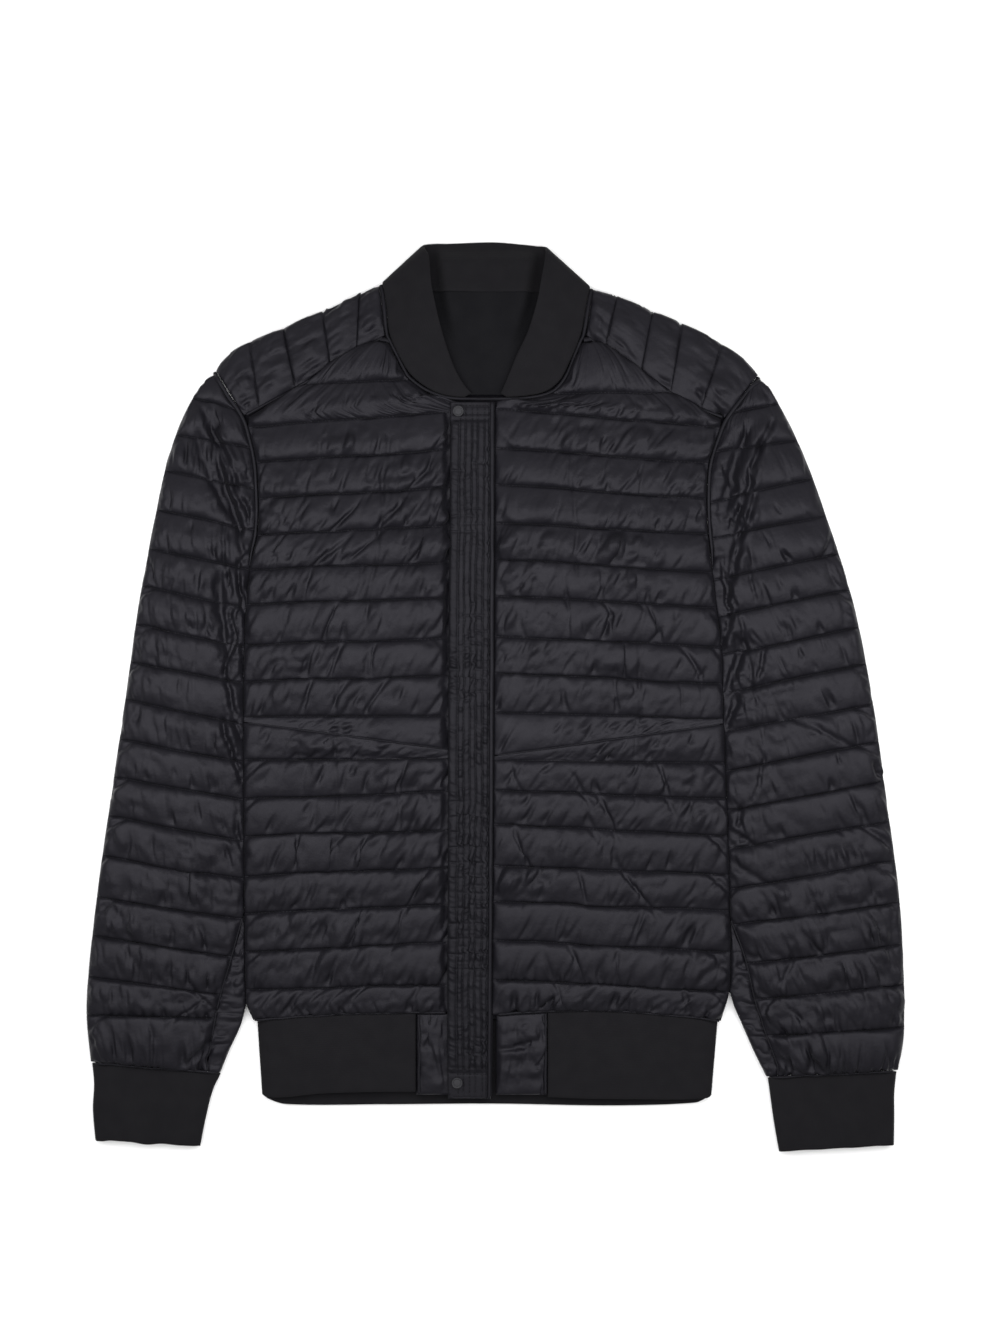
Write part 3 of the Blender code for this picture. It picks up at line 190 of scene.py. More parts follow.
# The collar, from its right front end round the back of the neck to its left front end.
# lean: which way the outer face looks, 1 up, -1 down, 0 outwards at a fold.
COLLAR_STATIONS = rows_of(CollarStation,
    (-27.0, 261.2, -21.0, 264.6, 10.6, 11.0, 1.0), (-41.0, 262.4, -27.0, 271.4, 10.6, 12.2, 1.0),
    (-56.4, 267.6, -34.2, 283.4, 10.6, 13.0, 1.0), (-73.6, 280.8, -41.2, 301.0, 10.6, 13.4, 1.0),
    (-84.4, 297.6, -46.8, 319.0, 10.6, 13.6, 1.0), (-92.4, 316.6, -51.6, 338.0, 10.6, 13.6, 1.0),
    (-95.0, 337.6, -55.8, 360.0, 10.6, 13.6, 1.0), (-96.8, 353.6, -58.4, 384.0, 10.2, 12.4, 0.9),
    (-98.0, 360.2, -62.6, 393.0, 7.0, 6.6, 0.0), (-93.0, 359.0, -55.0, 395.4, 3.6, 1.6, -0.9),
    (-68.0, 354.4, -42.0, 395.8, 3.0, 0.0, -1.0), (-6.0, 352.0, -2.0, 397.0, 3.0, 0.0, -1.0),
    (54.0, 353.4, 24.0, 395.0, 3.0, 0.0, -1.0), (76.0, 356.0, 36.0, 393.4, 3.6, 1.6, -0.9),
    (81.6, 357.0, 43.4, 391.6, 7.0, 6.6, 0.0), (80.4, 350.0, 43.4, 384.0, 10.2, 12.4, 0.9),
    (78.4, 336.4, 40.4, 366.0, 10.6, 13.6, 1.0), (74.0, 315.0, 36.0, 343.0, 10.6, 13.6, 1.0),
    (64.8, 292.4, 27.8, 317.0, 10.6, 13.4, 1.0), (55.6, 275.6, 19.0, 298.6, 10.6, 13.0, 1.0),
    (42.4, 265.8, 12.0, 281.8, 10.6, 12.4, 1.0), (22.0, 261.9, 6.4, 268.4, 10.6, 12.0, 1.0),
    (9.6, 261.4, 4.4, 264.4, 10.6, 11.0, 1.0))

# Each cuff, a row from the sleeve to its open end: outer end and inner end.
CuffRow = namedtuple("CuffRow", "outer_x outer_y inner_x inner_y")
CUFF_RIGHT = rows_of(CuffRow,
    (-352.0, -319.4, -239.8, -328.6), (-350.4, -337.0, -246.6, -343.0),
    (-351.4, -360.0, -252.6, -366.0), (-349.2, -386.2, -257.6, -391.6))
CUFF_LEFT = rows_of(CuffRow,
    (349.8, -326.8, 237.6, -332.4), (348.0, -346.0, 240.0, -350.0), (348.0, -366.0, 242.8, -370.4),
    (347.6, -390.6, 247.4, -396.6))

# The placket: (y, free edge, edge at the binding, outer edge of the binding).
PLACKET_ROWS = (
    (256.6, -39.4, -5.2, 0.3), (180.0, -40.0, -5.2, 0.2), (60.0, -41.0, -5.4, -0.2),
    (-60.0, -41.4, -6.0, -0.8), (-180.0, -41.8, -6.6, -1.6), (-300.0, -42.2, -7.2, -2.6),
    (-349.6, -41.6, -7.6, -3.2),
)
SNAP_PLACES = {"snap_top": (-32.4, 248.6), "snap_bottom": (-33.4, -335.6)}


# ---------------------------------------------------------------- looks of the cloth
# across, down: slack of the shell along and across its channels; shear: how far the
# wrinkles lean; vary, shear_vary: how uneven both are; push: the wadding's push.
Slack = namedtuple("Slack", "across down shear vary shear_vary push seed")
# rows to a channel, columns as a share of the finest, steps, stiffness
LEVELS = ((5, 0.25, 110, 0.20), (10, 0.5, 80, 0.18), (20, 1.0, 24, 0.16))
LINE_PLAY = (0.5, 0.45, 0.5)
# The speed kept from one step to the next, passes of the cloth's lengths in a step, and
# how firmly its diagonals are kept.
KEPT_SPEED = 0.9
PASSES = 2
SHEAR = 0.6
# The shape of a filled channel, and the least share of its height the wadding holds up.
PUFF = 4.8
PUFF_SHAPE = 0.6
WADDING = 0.45
# Rows of a finished channel, closer at its stitch lines, and the groove along them.
ROW_PLACES = (0.0, 0.012, 0.035, 0.07, 0.12, 0.18, 0.245, 0.31, 0.375, 0.4375, 0.5, 0.5625, 0.625, 0.69,
              0.755, 0.82, 0.88, 0.93, 0.965, 0.988, 1.0)
# Lumps of the cloth: size down, size across and height.
CRUMPLES = ((26.0, 15.0, 1.5), (13.0, 8.0, 1.1), (7.0, 4.5, 0.45))
LINE_SINK = 0.5
LINE_SINK_REACH = 0.7


# ---------------------------------------------------------------- looks, piece by piece
# Rows to a channel, share of columns, steps and stiffness for a face that is hardly seen.
PLAIN_LEVELS = ((5, 0.5, 60, 0.20), (8, 1.0, 30, 0.16))
HIDDEN_SLACK = Slack(0.06, 0.06, 0.1, 0.8, 1.0, 0.02, 61)
# The puff of a hidden face as a share of the full one, and the height of its flat part.
UNDER_ROOM = 0.15
GROOVE = 1.3

# The rings of one stitch: share of its length, size, and height over its path.
STITCH_RINGS = ((0.0, 0.35, -0.3), (0.28, 1.0, 0.7), (0.72, 1.0, 0.7), (1.0, 0.35, -0.3))

# What is added to a panel's seed for each kind of wear.
CREASE_SEED = 200
CRUMPLE_SEED = 300
GATHER_SEED = 400
PUCKER_SEED = 500

FRONT_SLACK = Slack(0.085, 0.10, 0.10, 1.0, 1.3, 0.02, 0)
FRONT_SEEDS = {"right": 11, "left": 23}
FRONT_COLUMNS = 175
FRONT_UPPER_SIZE = (360.0, 200.0)
FRONT_LOWER_SIZE = (240.0, 200.0)
FRONT_LEAN = 15.0
# Above this height a front's side is sewn to the armhole, and below it folded over.
FRONT_SIDE_SEWN = 110.0
# How near the placket the left front's creases are eased.
FRONT_CALM = 16.0
FULLNESS = 3.0
CHEST_RISE = 6.0
CHEST_Y = 115.0
CHEST_REACH = 95.0

SLEEVE_SLACK = Slack(0.06, 0.10, 0.07, 1.2, 1.4, 0.02, 0)
SLEEVE_SEEDS = {"right": 37, "left": 41}
UNDER_SEEDS = {"right": 51, "left": 53}
SLEEVE_COLUMNS = 81
SLEEVE_FINE_COLUMNS = 134
SLEEVE_SIZE = (600.0, 130.0)
SLEEVE_LEAN = 9.0
SLEEVE_FULLNESS = 5.0
UNDER_COLUMNS = 73
STRIP_HEIGHT = 4.4
STRIP_FULL_WIDTH = 11.0
STRIP_TOP = 6.5
STRIP_GRID = (170, 30)

BACK_CHANNELS = 19
BACK_COLUMNS = 121
BACK_SIZE = (630.0, 400.0)

YOKE_SLACK = Slack(0.08, 0.08, 0.08, 1.0, 1.2, 0.024, 0)
YOKE_SEEDS = {"right": 101, "left": 103}
YOKE_COLUMNS = 73
YOKE_SIZE = (130.0, 110.0)
YOKE_PUFF = 3.2
YOKE_WALL = 1.6
# The seam allowances where yoke, front and collar meet, as (x, y, z).
NECK_CORNERS = {
    "right": ((-100.8, 311.0, 9.0), (-96.4, 310.9, 9.2), (-91.8, 309.8, 9.2)),
    "left": ((85.2, 311.2, 9.0), (81.0, 311.3, 9.3), (76.9, 310.6, 9.3)),
}

# How far the collar's wings and its back stand up, and the inner neck between them.
WING_RISE = 10.0
BACK_RISE = 4.4
BULGE = 10.0
COLLAR_SEED = 71
COLLAR_COUNT = 180
COLLAR_ACROSS = 25
KNIT_WAVE = 0.22
HEM_SEED = 73
HEM_COUNT = 260
HEM_ACROSS = 21
CUFF_SEEDS = {"right": 107, "left": 109}
CUFF_COUNT = 33
CUFF_AROUND = 112
# Round a cuff: place across it and height of the outer face, then of the inner face.
CUFF_SECTION = (
    (0.0, 5.3, 0.040, 5.3), (0.035, 9.4, 0.055, 5.9), (0.14, 10.8, 0.14, 6.4),
    (0.32, 11.1, 0.32, 6.5), (0.5, 11.2, 0.5, 6.6), (0.68, 11.1, 0.68, 6.5),
    (0.86, 10.8, 0.86, 6.4), (0.965, 9.4, 0.945, 5.9), (1.0, 5.3, 0.960, 5.3),
    (0.965, 1.2, 0.945, 4.9), (0.86, 0.0, 0.86, 4.6), (0.68, 0.0, 0.68, 4.6), (0.5, 0.0, 0.5, 4.6),
    (0.32, 0.0, 0.32, 4.6), (0.14, 0.0, 0.14, 4.6), (0.035, 1.2, 0.055, 4.9),
)
LINING_SEED = 79
# The inner back where it shows: (y, right end, left end).
LINING_ROWS = ((353.4, -72.0, 60.0), (320.0, -78.0, 62.0), (296.0, -70.0, 54.0), (276.0, -52.0, 42.0),
               (263.4, -30.0, 20.0))
LINING_GRID = (49, 51)

# The placket's long stitch lines, as x at its top, its cross stitches, the length of its
# small bumps and the depth of its long lines.
PLACKET_STITCH_X = (-30.5, -25.9, -20.4, -15.7, -9.7)
PLACKET_CROSS_Y = (253.2, 246.2, 241.4, -322.4, -327.6)
PLACKET_BUMP = 3.4
PLACKET_GROOVE = 0.6
PLACKET_SLACK = Slack(0.09, 0.07, 0.05, 1.0, 1.5, 0.024, 83)
PLACKET_LEVELS = ((3, 0.25, 90, 0.20), (5, 0.5, 60, 0.18), (7, 1.0, 24, 0.16))
PLACKET_COLUMNS = 367
PLACKET_FINE_COLUMNS = 620
PLACKET_SIZE = (34.0, 600.0)
PLACKET_PUFF = 7.0
BUMP_SEED = 85
# The cord's half width as a share of the binding's width.
CORD_SHARE = 0.38
BINDING_SEED = 89
BINDING_COUNT = 240

TAB_SLACK = Slack(0.09, 0.08, 0.05, 1.0, 1.4, 0.024, 0)
TAB_LEVELS = ((6, 0.25, 90, 0.20), (12, 0.5, 60, 0.18), (32, 1.0, 24, 0.16))
TAB_CRUMPLES = ((16.0, 20.0, 2.0), (8.0, 11.0, 1.6), (4.0, 6.0, 0.7))
# Each tab: name, side of the jacket, both ends along x, width under the placket, seed.
TABS = (("hem_tab_right", -1, -69.0, -4.6, 38.0, 113), ("hem_tab_left", 1, 0.6, 45.0, 0.0, 127))
TAB_COLUMNS = 61
TAB_SIZE = (68.0, 60.0)

# A snap cap: share of its radius and height.
SNAP_PROFILE = ((0.0, 1.75), (0.3, 1.74), (0.52, 1.68), (0.6, 1.5), (0.66, 1.42), (0.72, 1.52), (0.8, 1.86),
                (0.88, 1.98), (0.95, 1.86), (1.0, 1.4), (1.0, 0.5), (0.97, 0.0))
SNAP_RINGS = 45
SNAP_TURNS = 72

# The neck cord between its two ends, as (x, y), and the heights of the armhole cords'
# points beside the body.
NECK_CORD = (
    (-97.2, 340.0), (-94.6, 316.0), (-91.4, 308.8), (-86.9, 299.5), (-80.4, 286.7), (-74.7, 277.9),
    (-58.9, 266.6), (-41.0, 260.7), (-20.0, 259.6), (1.6, 259.6), (28.0, 260.5), (49.2, 265.9),
    (60.3, 277.6), (69.0, 297.6), (73.4, 308.6), (76.6, 315.4), (80.4, 337.0),
)
NECK_CORD_COUNT = 260
ARMHOLE_CORD_Y = (238.0, 226.0, 214.0, 202.0, 190.0, 176.0, 162.0, 150.0, 138.0, 128.0)
ARMHOLE_CORD_COUNT = 160
# The filler under each armhole cord: below the armhole's top, raised by, and height.
FILLER_TOP = ((2.6, 0.6, 4.4), (4.0, 0.0, 6.0), (7.0, 0.0, 8.0), (14.0, 0.0, 9.2))
# The next heights down the armhole, for the cord and its filler.
ARMHOLE_Y = (262.0, 250.0)
EDGE_SEED = 97
HEM_EDGES = {"right": (-209.5, -43.5), "left": (2.0, 194.5)}
TAB_EDGE_X = {"right": -66.6, "left": 43.6}

# Long folds of the shell: ends, half width and depth.
Fold = namedtuple("Fold", "x0 y0 x1 y1 reach depth")
SLEEVE_FOLDS = {
    "right": rows_of(Fold,
        (-248.0, 262.0, -216.0, 128.0, 5.5, 6.0), (-262.0, 240.0, -226.0, 150.0, 4.5, 3.5),
        (-240.0, 120.0, -226.0, 20.0, 5.0, 6.0)),
    "left": rows_of(Fold,
        (226.0, 250.0, 192.0, 100.0, 6.0, 6.0), (214.0, 170.0, 200.0, 60.0, 5.0, 4.5),
        (222.0, 60.0, 204.0, -20.0, 5.0, 6.0)),
}
# Long fine creases: ends, how far they wander, half width and depth.
Crease = namedtuple("Crease", "x0 y0 x1 y1 wander width depth")
FRONT_CREASES = {
    "right": rows_of(Crease,
        (-91.0, 228.0, -113.0, 50.0, 1.6, 1.4, 2.2), (-137.0, 50.0, -139.0, -162.0, 1.2, 1.4, 1.7),
        (-58.0, 150.0, -62.0, 70.0, 1.0, 1.3, 0.6)),
    "left": rows_of(Crease,
        (66.0, 214.0, 72.0, 96.0, 1.4, 1.4, 1.5), (128.0, 80.0, 122.0, -60.0, 1.5, 1.5, 1.7),
        (94.0, -70.0, 98.0, -210.0, 1.4, 1.4, 0.7)),
}
SLEEVE_CREASES = {
    "right": rows_of(Crease,
        (-254.0, 252.0, -213.0, 156.0, 1.5, 2.2, 5.0), (-246.0, 226.0, -212.0, 186.0, 0.8, 1.3, 2.5),
        (-236.0, 196.0, -217.0, 118.0, 1.4, 2.0, 4.5), (-238.0, 152.0, -230.0, 84.0, 1.2, 1.4, 3.0),
        (-225.0, 120.0, -217.0, 62.0, 1.0, 1.5, 3.5), (-224.0, 106.0, -219.0, 70.0, 0.6, 1.4, 3.2),
        (-230.0, 78.0, -226.5, 42.0, 0.8, 1.8, 4.6), (-226.5, 50.0, -237.0, 20.0, 0.6, 1.5, 3.4),
        (-216.0, 98.0, -226.0, 62.0, 0.6, 1.4, 3.0), (-221.0, 46.0, -218.5, 14.0, 0.5, 1.8, 4.4),
        (-234.0, 17.0, -226.0, -18.0, 0.7, 1.9, 4.8), (-238.0, -18.0, -229.0, -52.0, 0.8, 1.8, 4.6),
        (-230.0, -46.0, -220.0, -76.0, 0.6, 1.7, 4.2), (-229.0, -18.0, -219.5, -40.0, 0.5, 1.9, 4.6),
        (-226.0, -100.0, -222.0, -134.0, 0.6, 1.5, 3.0), (-240.0, -96.0, -232.0, -122.0, 0.7, 1.3, 2.0),
        (-236.0, -128.0, -228.0, -150.0, 0.6, 1.4, 2.4),
        (-276.0, -238.0, -236.0, -282.0, 1.6, 1.6, 3.0),
        (-252.0, -262.0, -290.0, -290.0, 1.2, 1.5, 2.8),
        (-262.0, -276.0, -244.0, -312.0, 1.0, 1.5, 2.6)),
    "left": rows_of(Crease,
        (240.0, 243.0, 208.0, 150.0, 1.5, 2.2, 5.0), (226.0, 180.0, 203.0, 95.0, 1.3, 2.0, 4.5),
        (232.0, 205.0, 206.0, 170.0, 0.8, 1.3, 2.5), (201.5, 98.0, 205.5, 66.0, 0.8, 1.9, 4.8),
        (205.0, 72.0, 197.0, 40.0, 0.6, 2.0, 5.0), (196.5, 112.0, 213.0, 66.0, 0.8, 1.5, 3.4),
        (213.0, 70.0, 219.0, 38.0, 0.7, 1.4, 3.0), (220.0, 122.0, 226.0, 80.0, 0.8, 1.3, 2.4),
        (235.0, 44.0, 228.0, 14.0, 0.7, 1.5, 3.4), (213.0, 38.0, 201.0, 0.0, 0.8, 2.2, 5.0),
        (219.5, 38.0, 228.0, -8.0, 0.7, 1.4, 2.8), (212.0, 4.0, 201.0, -30.0, 0.7, 2.1, 5.0),
        (233.0, -8.0, 233.5, -58.0, 0.6, 1.2, 1.4), (235.0, -52.0, 224.0, -92.0, 0.9, 1.4, 2.8),
        (215.5, -92.0, 210.5, -114.0, 0.6, 1.6, 3.4), (219.0, -122.0, 205.0, -130.0, 0.4, 2.0, 4.0),
        (262.0, -216.0, 244.0, -262.0, 1.4, 1.5, 2.8), (248.0, -262.0, 284.0, -300.0, 1.4, 1.5, 2.8)),
}
CREASE_LIP = 0.55

GLOSS_TINT = (0.97, 0.945, 1.05, 1.0)
# The lamps, which look straight down: width, depth, power and place.
LAMPS = (
    ("key", 1.8, 0.35, 5.45, (0.05, 0.134, 0.50)),
    ("fill", 1.8, 0.40, 3.75, (0.0, -0.16, 0.62)),
)
# The room's light: the way to its brightest place, its least strength and its greatest.
GLOW_WAY = (0.0, 0.24, 0.97)
GLOW = (0.40, 1.50)
LENS = 85.0
SENSOR_WIDTH = 36.0
CAMERA_PLACE = (0.0039, 0.0265, 2.752)


# ---------------------------------------------------------------- smooth tables
def smooth_table(places, values, wanted):
    """Values at the wanted places, on a smooth line through the rows of a table."""
    places = np.asarray(places, float)
    values = np.asarray(values, float)
    if places[0] > places[-1]:
        places, values = places[::-1], values[::-1]
    wanted = np.clip(np.asarray(wanted, float), places[0], places[-1])
    k = np.clip(np.searchsorted(places, wanted, side="right") - 1, 0, len(places) - 2)
    low = np.maximum(np.arange(len(places)) - 1, 0)
    high = np.minimum(np.arange(len(places)) + 1, len(places) - 1)
    extra = (1,) * (values.ndim - 1)
    slope = (values[high] - values[low]) / (places[high] - places[low]).reshape((-1,) + extra)
    span = (places[k + 1] - places[k]).reshape(wanted.shape + extra)
    t = (wanted - places[k]).reshape(wanted.shape + extra) / span
    return (values[k] * (2 * t**3 - 3 * t**2 + 1) + values[k + 1] * (3 * t**2 - 2 * t**3)
            + span * (slope[k] * (t**3 - 2 * t**2 + t) + slope[k + 1] * (t**3 - t**2)))


def evenly(table, count):
    """A table read at count places, evenly spaced from its first row to its last."""
    return smooth_table(np.arange(len(table)), table, np.linspace(0.0, len(table) - 1.0, count))


def outline(table, y):
    """Where an outline is at the heights y."""
    rows = np.asarray(table, float)
    return smooth_table(rows[:, 0], rows[:, 1], np.asarray(y, float))


def between(start, end, t):
    """The place a share t of the way from start to end."""
    return start + (end - start) * t


def lengths_along(points):
    """The length along a line of points, at each of them."""
    return np.r_[0.0, np.cumsum(np.linalg.norm(np.diff(points, axis=0), axis=-1))]


def through(points, count):
    """count points, evenly spaced, on a smooth line through these points."""
    points = np.asarray(points, float)
    places = lengths_along(points)
    fine = smooth_table(places, points, np.linspace(0.0, places[-1], 12 * len(points)))
    places = lengths_along(fine)
    wanted = np.linspace(0.0, places[-1], count)
    return np.stack([np.interp(wanted, places, fine[:, i]) for i in range(fine.shape[1])], axis=1)


def smooth_step(t):
    """A soft rise from 0 to 1."""
    t = np.clip(t, 0.0, 1.0)
    return t * t * (3.0 - 2.0 * t)


def round_step(t):
    """The rise of a rounded edge, from 0 to 1."""
    t = np.clip(t, 0.0, 1.0)
    return np.sqrt(1.0 - (1.0 - t) ** 2)


class Unevenness:
    """Seeded noise on a lattice of cells, read at any fineness."""

    def __init__(self, rng, height, width, cell_down, cell_across):
        rows = max(int(round(height / cell_down)), 1) + 3
        columns = max(int(round(width / cell_across)), 1) + 3
        self.lattice = rng.standard_normal((rows, columns))

    def at(self, rows, columns, drift=0.0):
        """drift: how many cells the noise goes sideways from the first row to the last."""
        corner = self.lattice
        down = np.linspace(0.5, corner.shape[0] - 2.5, rows)[:, None]
        across = np.linspace(0.5, corner.shape[1] - 2.5, columns)[None, :]
        across = across + drift * np.linspace(0.0, 1.0, rows)[:, None]
        i = np.floor(down).astype(int)
        j = np.floor(across).astype(int)
        f = smooth_step(down - i)
        g = smooth_step(across - j)
        left = j % corner.shape[1]
        right = (j + 1) % corner.shape[1]
        return ((corner[i, left] * (1 - g) + corner[i, right] * g) * (1 - f)
                + (corner[i + 1, left] * (1 - g) + corner[i + 1, right] * g) * f)


def finer(grid, rows, columns):
    """A grid of vectors read at more rows and columns."""
    down = np.linspace(0.0, grid.shape[0] - 1.0, rows)
    across = np.linspace(0.0, grid.shape[1] - 1.0, columns)
    i = np.clip(np.floor(down).astype(int), 0, grid.shape[0] - 2)
    j = np.clip(np.floor(across).astype(int), 0, grid.shape[1] - 2)
    f = (down - i)[:, None, None]
    g = (across - j)[None, :, None]
    return ((grid[i][:, j] * (1 - g) + grid[i][:, j + 1] * g) * (1 - f)
            + (grid[i + 1][:, j] * (1 - g) + grid[i + 1][:, j + 1] * g) * f)


# ---------------------------------------------------------------- simulated shell cloth
def normals_of(grid, facing):
    """Unit normals of a grid of points; facing is 1 or -1."""
    across = np.gradient(grid, axis=1)
    down = np.gradient(grid, axis=0)
    normal = np.cross(down, across) * facing
    return normal / (np.linalg.norm(normal, axis=-1, keepdims=True) + 1e-9)


def facing_of(grid):
    """1 or -1: the side of a grid that looks up where its columns start."""
    normal = normals_of(grid, 1.0)
    return 1.0 if normal[:, : max(grid.shape[1] // 3, 2), 2].mean() > 0 else -1.0


def moved_out(grid, height):
    """The same panel with each point moved out by its height."""
    return grid + height[..., None] * normals_of(grid, facing_of(grid))


def channel_rows(channel, per):
    """The rows of one channel, with the stitch lines above and below it."""
    return slice(channel * per, (channel + 1) * per + 1)


def row_share(grid):
    """How long each row is, as a share of the longest."""
    length = np.linalg.norm(np.diff(grid[..., :2], axis=1), axis=-1).sum(axis=1)
    return (length / length.max())[:, None]


def rest_lengths(base, slack, fields):
    """The cloth's own lengths between neighbours: across, down and both diagonals."""
    rows, columns = base.shape[:2]
    uneven, fine, lean, puffed = (field.at(rows, columns) for field in fields)
    loose = slack.across * row_share(base) ** 2
    across = 1.0 + loose * np.maximum(1.0 + slack.vary * (uneven + 0.6 * fine), 0.0)
    down = 1.0 + slack.down * np.maximum(1.0 + 0.3 * puffed, 0.3)
    shear = slack.shear * (1.0 + slack.shear_vary * lean)
    step_across = np.diff(base, axis=1)
    step_down = np.diff(base, axis=0)
    width = np.linalg.norm(step_across, axis=-1) * across[:, :-1]
    height = np.linalg.norm(step_down, axis=-1) * down[:-1]
    dot = (step_across[:-1] * step_down[:, :-1]).sum(-1) * across[:-1, :-1] * down[:-1, :-1]
    a = width[:-1]
    b = height[:, :-1]
    lean_part = 2.0 * shear[:-1, :-1] * a * b
    one = np.sqrt(np.maximum(a * a + b * b + 2.0 * dot + lean_part, 1e-4))
    other = np.sqrt(np.maximum(a * a + b * b - 2.0 * dot - lean_part, 1e-4))
    return [part.astype(np.float32) for part in (width, height, one, other)]


def pull(first, second, length, free_first, free_second, strength):
    """Move two sets of neighbours towards the cloth's own length between them."""
    step = second - first
    distance = np.sqrt((step * step).sum(-1)) + 1e-9
    change = (strength * (distance - length) / distance)[..., None] * step
    total = free_first + free_second + 1e-9
    first += change * (free_first / total)
    second -= change * (free_second / total)


def neighbours(count):
    """Slices for every second pair of neighbours, then for the pairs in between."""
    for s in (0, 1):
        n = (count - s) // 2
        yield slice(s, s + 2 * n, 2), slice(s + 1, s + 2 * n, 2)


def to_middle(values):
    """The way from each inner point to the middle of its four neighbours."""
    way = np.zeros_like(values)
    way[1:-1, 1:-1] = 0.25 * (values[:-2, 1:-1] + values[2:, 1:-1] + values[1:-1, :-2]
                              + values[1:-1, 2:]) - values[1:-1, 1:-1]
    return way


def settle(points, base, free, lines, lengths, limits, push, steps, stiffness, facing):
    """Let the slack shell settle over its wadding; the quilting lines keep their place."""
    width, height, one, other = lengths
    low, high = limits
    normal = normals_of(base, facing).astype(np.float32)
    free = free.astype(np.float32)[..., None]
    play = np.asarray(LINE_PLAY, np.float32)
    speed = np.zeros_like(points)
    for _ in range(steps):
        speed *= KEPT_SPEED
        speed[1:-1, 1:-1] += push * normals_of(points, facing)[1:-1, 1:-1]
        speed *= free
        moved = points + speed
        for _ in range(PASSES):
            for part, after in neighbours(moved.shape[1]):
                pull(moved[:, part], moved[:, after], width[:, part], free[:, part], free[:, after], 1.0)
            for part, after in neighbours(moved.shape[0]):
                pull(moved[part], moved[after], height[part], free[part], free[after], 1.0)
                pull(moved[part, :-1], moved[after, 1:], one[part], free[part, :-1], free[after, 1:], SHEAR)
                pull(moved[part, 1:], moved[after, :-1], other[part], free[part, 1:], free[after, :-1],
                     SHEAR)
            bend = to_middle(moved)
            bend[lines] = 0.0
            moved -= stiffness * to_middle(bend) * free
        away = moved - base
        out = (away * normal).sum(-1)
        moved += (np.clip(out, low, high) - out)[..., None] * normal
        moved[lines] = base[lines] + np.clip(moved[lines] - base[lines], -play, play)
        speed = (moved - points) * free
        points = moved
    return points


def quilted(base_at, channels, columns, slack, size, height=PUFF, levels=LEVELS, skew=None):
    """Simulated points of a quilted panel. base_at(places, columns) gives its stitched
    form, how far it may puff and what is held fast; size is (down, across); skew(places)
    is over 1 where the filling lies towards the lower stitch line, and under 1 towards
    the upper one."""
    rng = np.random.default_rng(slack.seed)
    fields = [Unevenness(rng, *size, down, across)
              for down, across in ((24, 24), (12, 12), (34, 52), (30, 40))]
    start = Unevenness(rng, *size, 14.0, 14.0)
    grid = None
    for per, share, steps, stiffness in levels:
        rows = channels * per + 1
        count = max(int(round((columns - 1) * share)) + 1, 8)
        places = np.linspace(0.0, channels, rows)
        base, room, held = base_at(places, np.linspace(0.0, 1.0, count))
        lines = np.arange(rows) % per == 0
        free = np.ones((rows, count))
        free[0] = free[-1] = 0.0
        free[:, 0] = free[:, -1] = 0.0
        free[held] = 0.0
        facing = facing_of(base)
        normal = normals_of(base, facing)
        filled = (places % 1.0) ** (1.0 if skew is None else skew(places))
        puff = np.sin(np.pi * filled)[:, None] ** PUFF_SHAPE * room
        if grid is None:
            grid = 0.85 * height * puff[..., None] * normal
            rough = puff * start.at(rows, count) * free
            grid += (3.0 * rough)[..., None] * (normal + 0.3)
        else:
            grid = finer(grid, rows, count)
        grid = np.where(free[..., None] > 0, grid, 0.0)
        low = (WADDING * height * puff - 0.05).astype(np.float32)
        high = (height * 1.15 * puff + 0.3 * room + 0.05).astype(np.float32)
        lengths = rest_lengths(base, slack, fields)
        base = base.astype(np.float32)
        points = settle((base + grid).astype(np.float32), base, free, lines, lengths, (low, high),
                        slack.push * 5.0 / per * 3.3, steps, stiffness, facing)
        grid = (points - base).astype(float)
    return base.astype(float) + grid, per


def width_share(grid, per, least=5.0, more=13.0):
    """For each point, how nearly its channel is wide enough to crease in full."""
    lines = grid[::per, :, :2]
    width = np.linalg.norm(np.diff(lines, axis=0), axis=-1)
    share = smooth_step((width - least) / more)
    share = np.repeat(share, per, axis=0)
    return np.concatenate([share, share[-1:]])


def mellowed(grid, per, times=3, sheared_times=40, calm=0.0):
    """The same panel with its sharpest wrinkles eased, along its channels alone, and
    more where a channel's rows run askew to each other, where it is narrow, and within
    calm of its last column."""
    grid = grid.copy()
    across = np.gradient(grid[..., :2], axis=1)
    down = np.gradient(grid[..., :2], axis=0)
    product = np.linalg.norm(across, axis=-1) * np.linalg.norm(down, axis=-1) + 1e-6
    askew = np.abs((across * down).sum(-1)) / product
    more = np.maximum(np.clip((askew - 0.35) / 0.25, 0.0, 1.0),
                      1.0 - width_share(grid, per, 8.0, 16.0))
    if calm > 0.0:
        away = np.linalg.norm(grid[..., :2] - grid[:, -1:, :2], axis=-1)
        more = np.maximum(more, smooth_step((calm - away) / (0.4 * calm)))
    more = more[:, 1:-1, None]
    for turn in range(sheared_times):
        share = 0.5 if turn < times else 0.5 * more
        grid[:, 1:-1] += share * (0.5 * (grid[:, :-2] + grid[:, 2:]) - grid[:, 1:-1])
    return grid


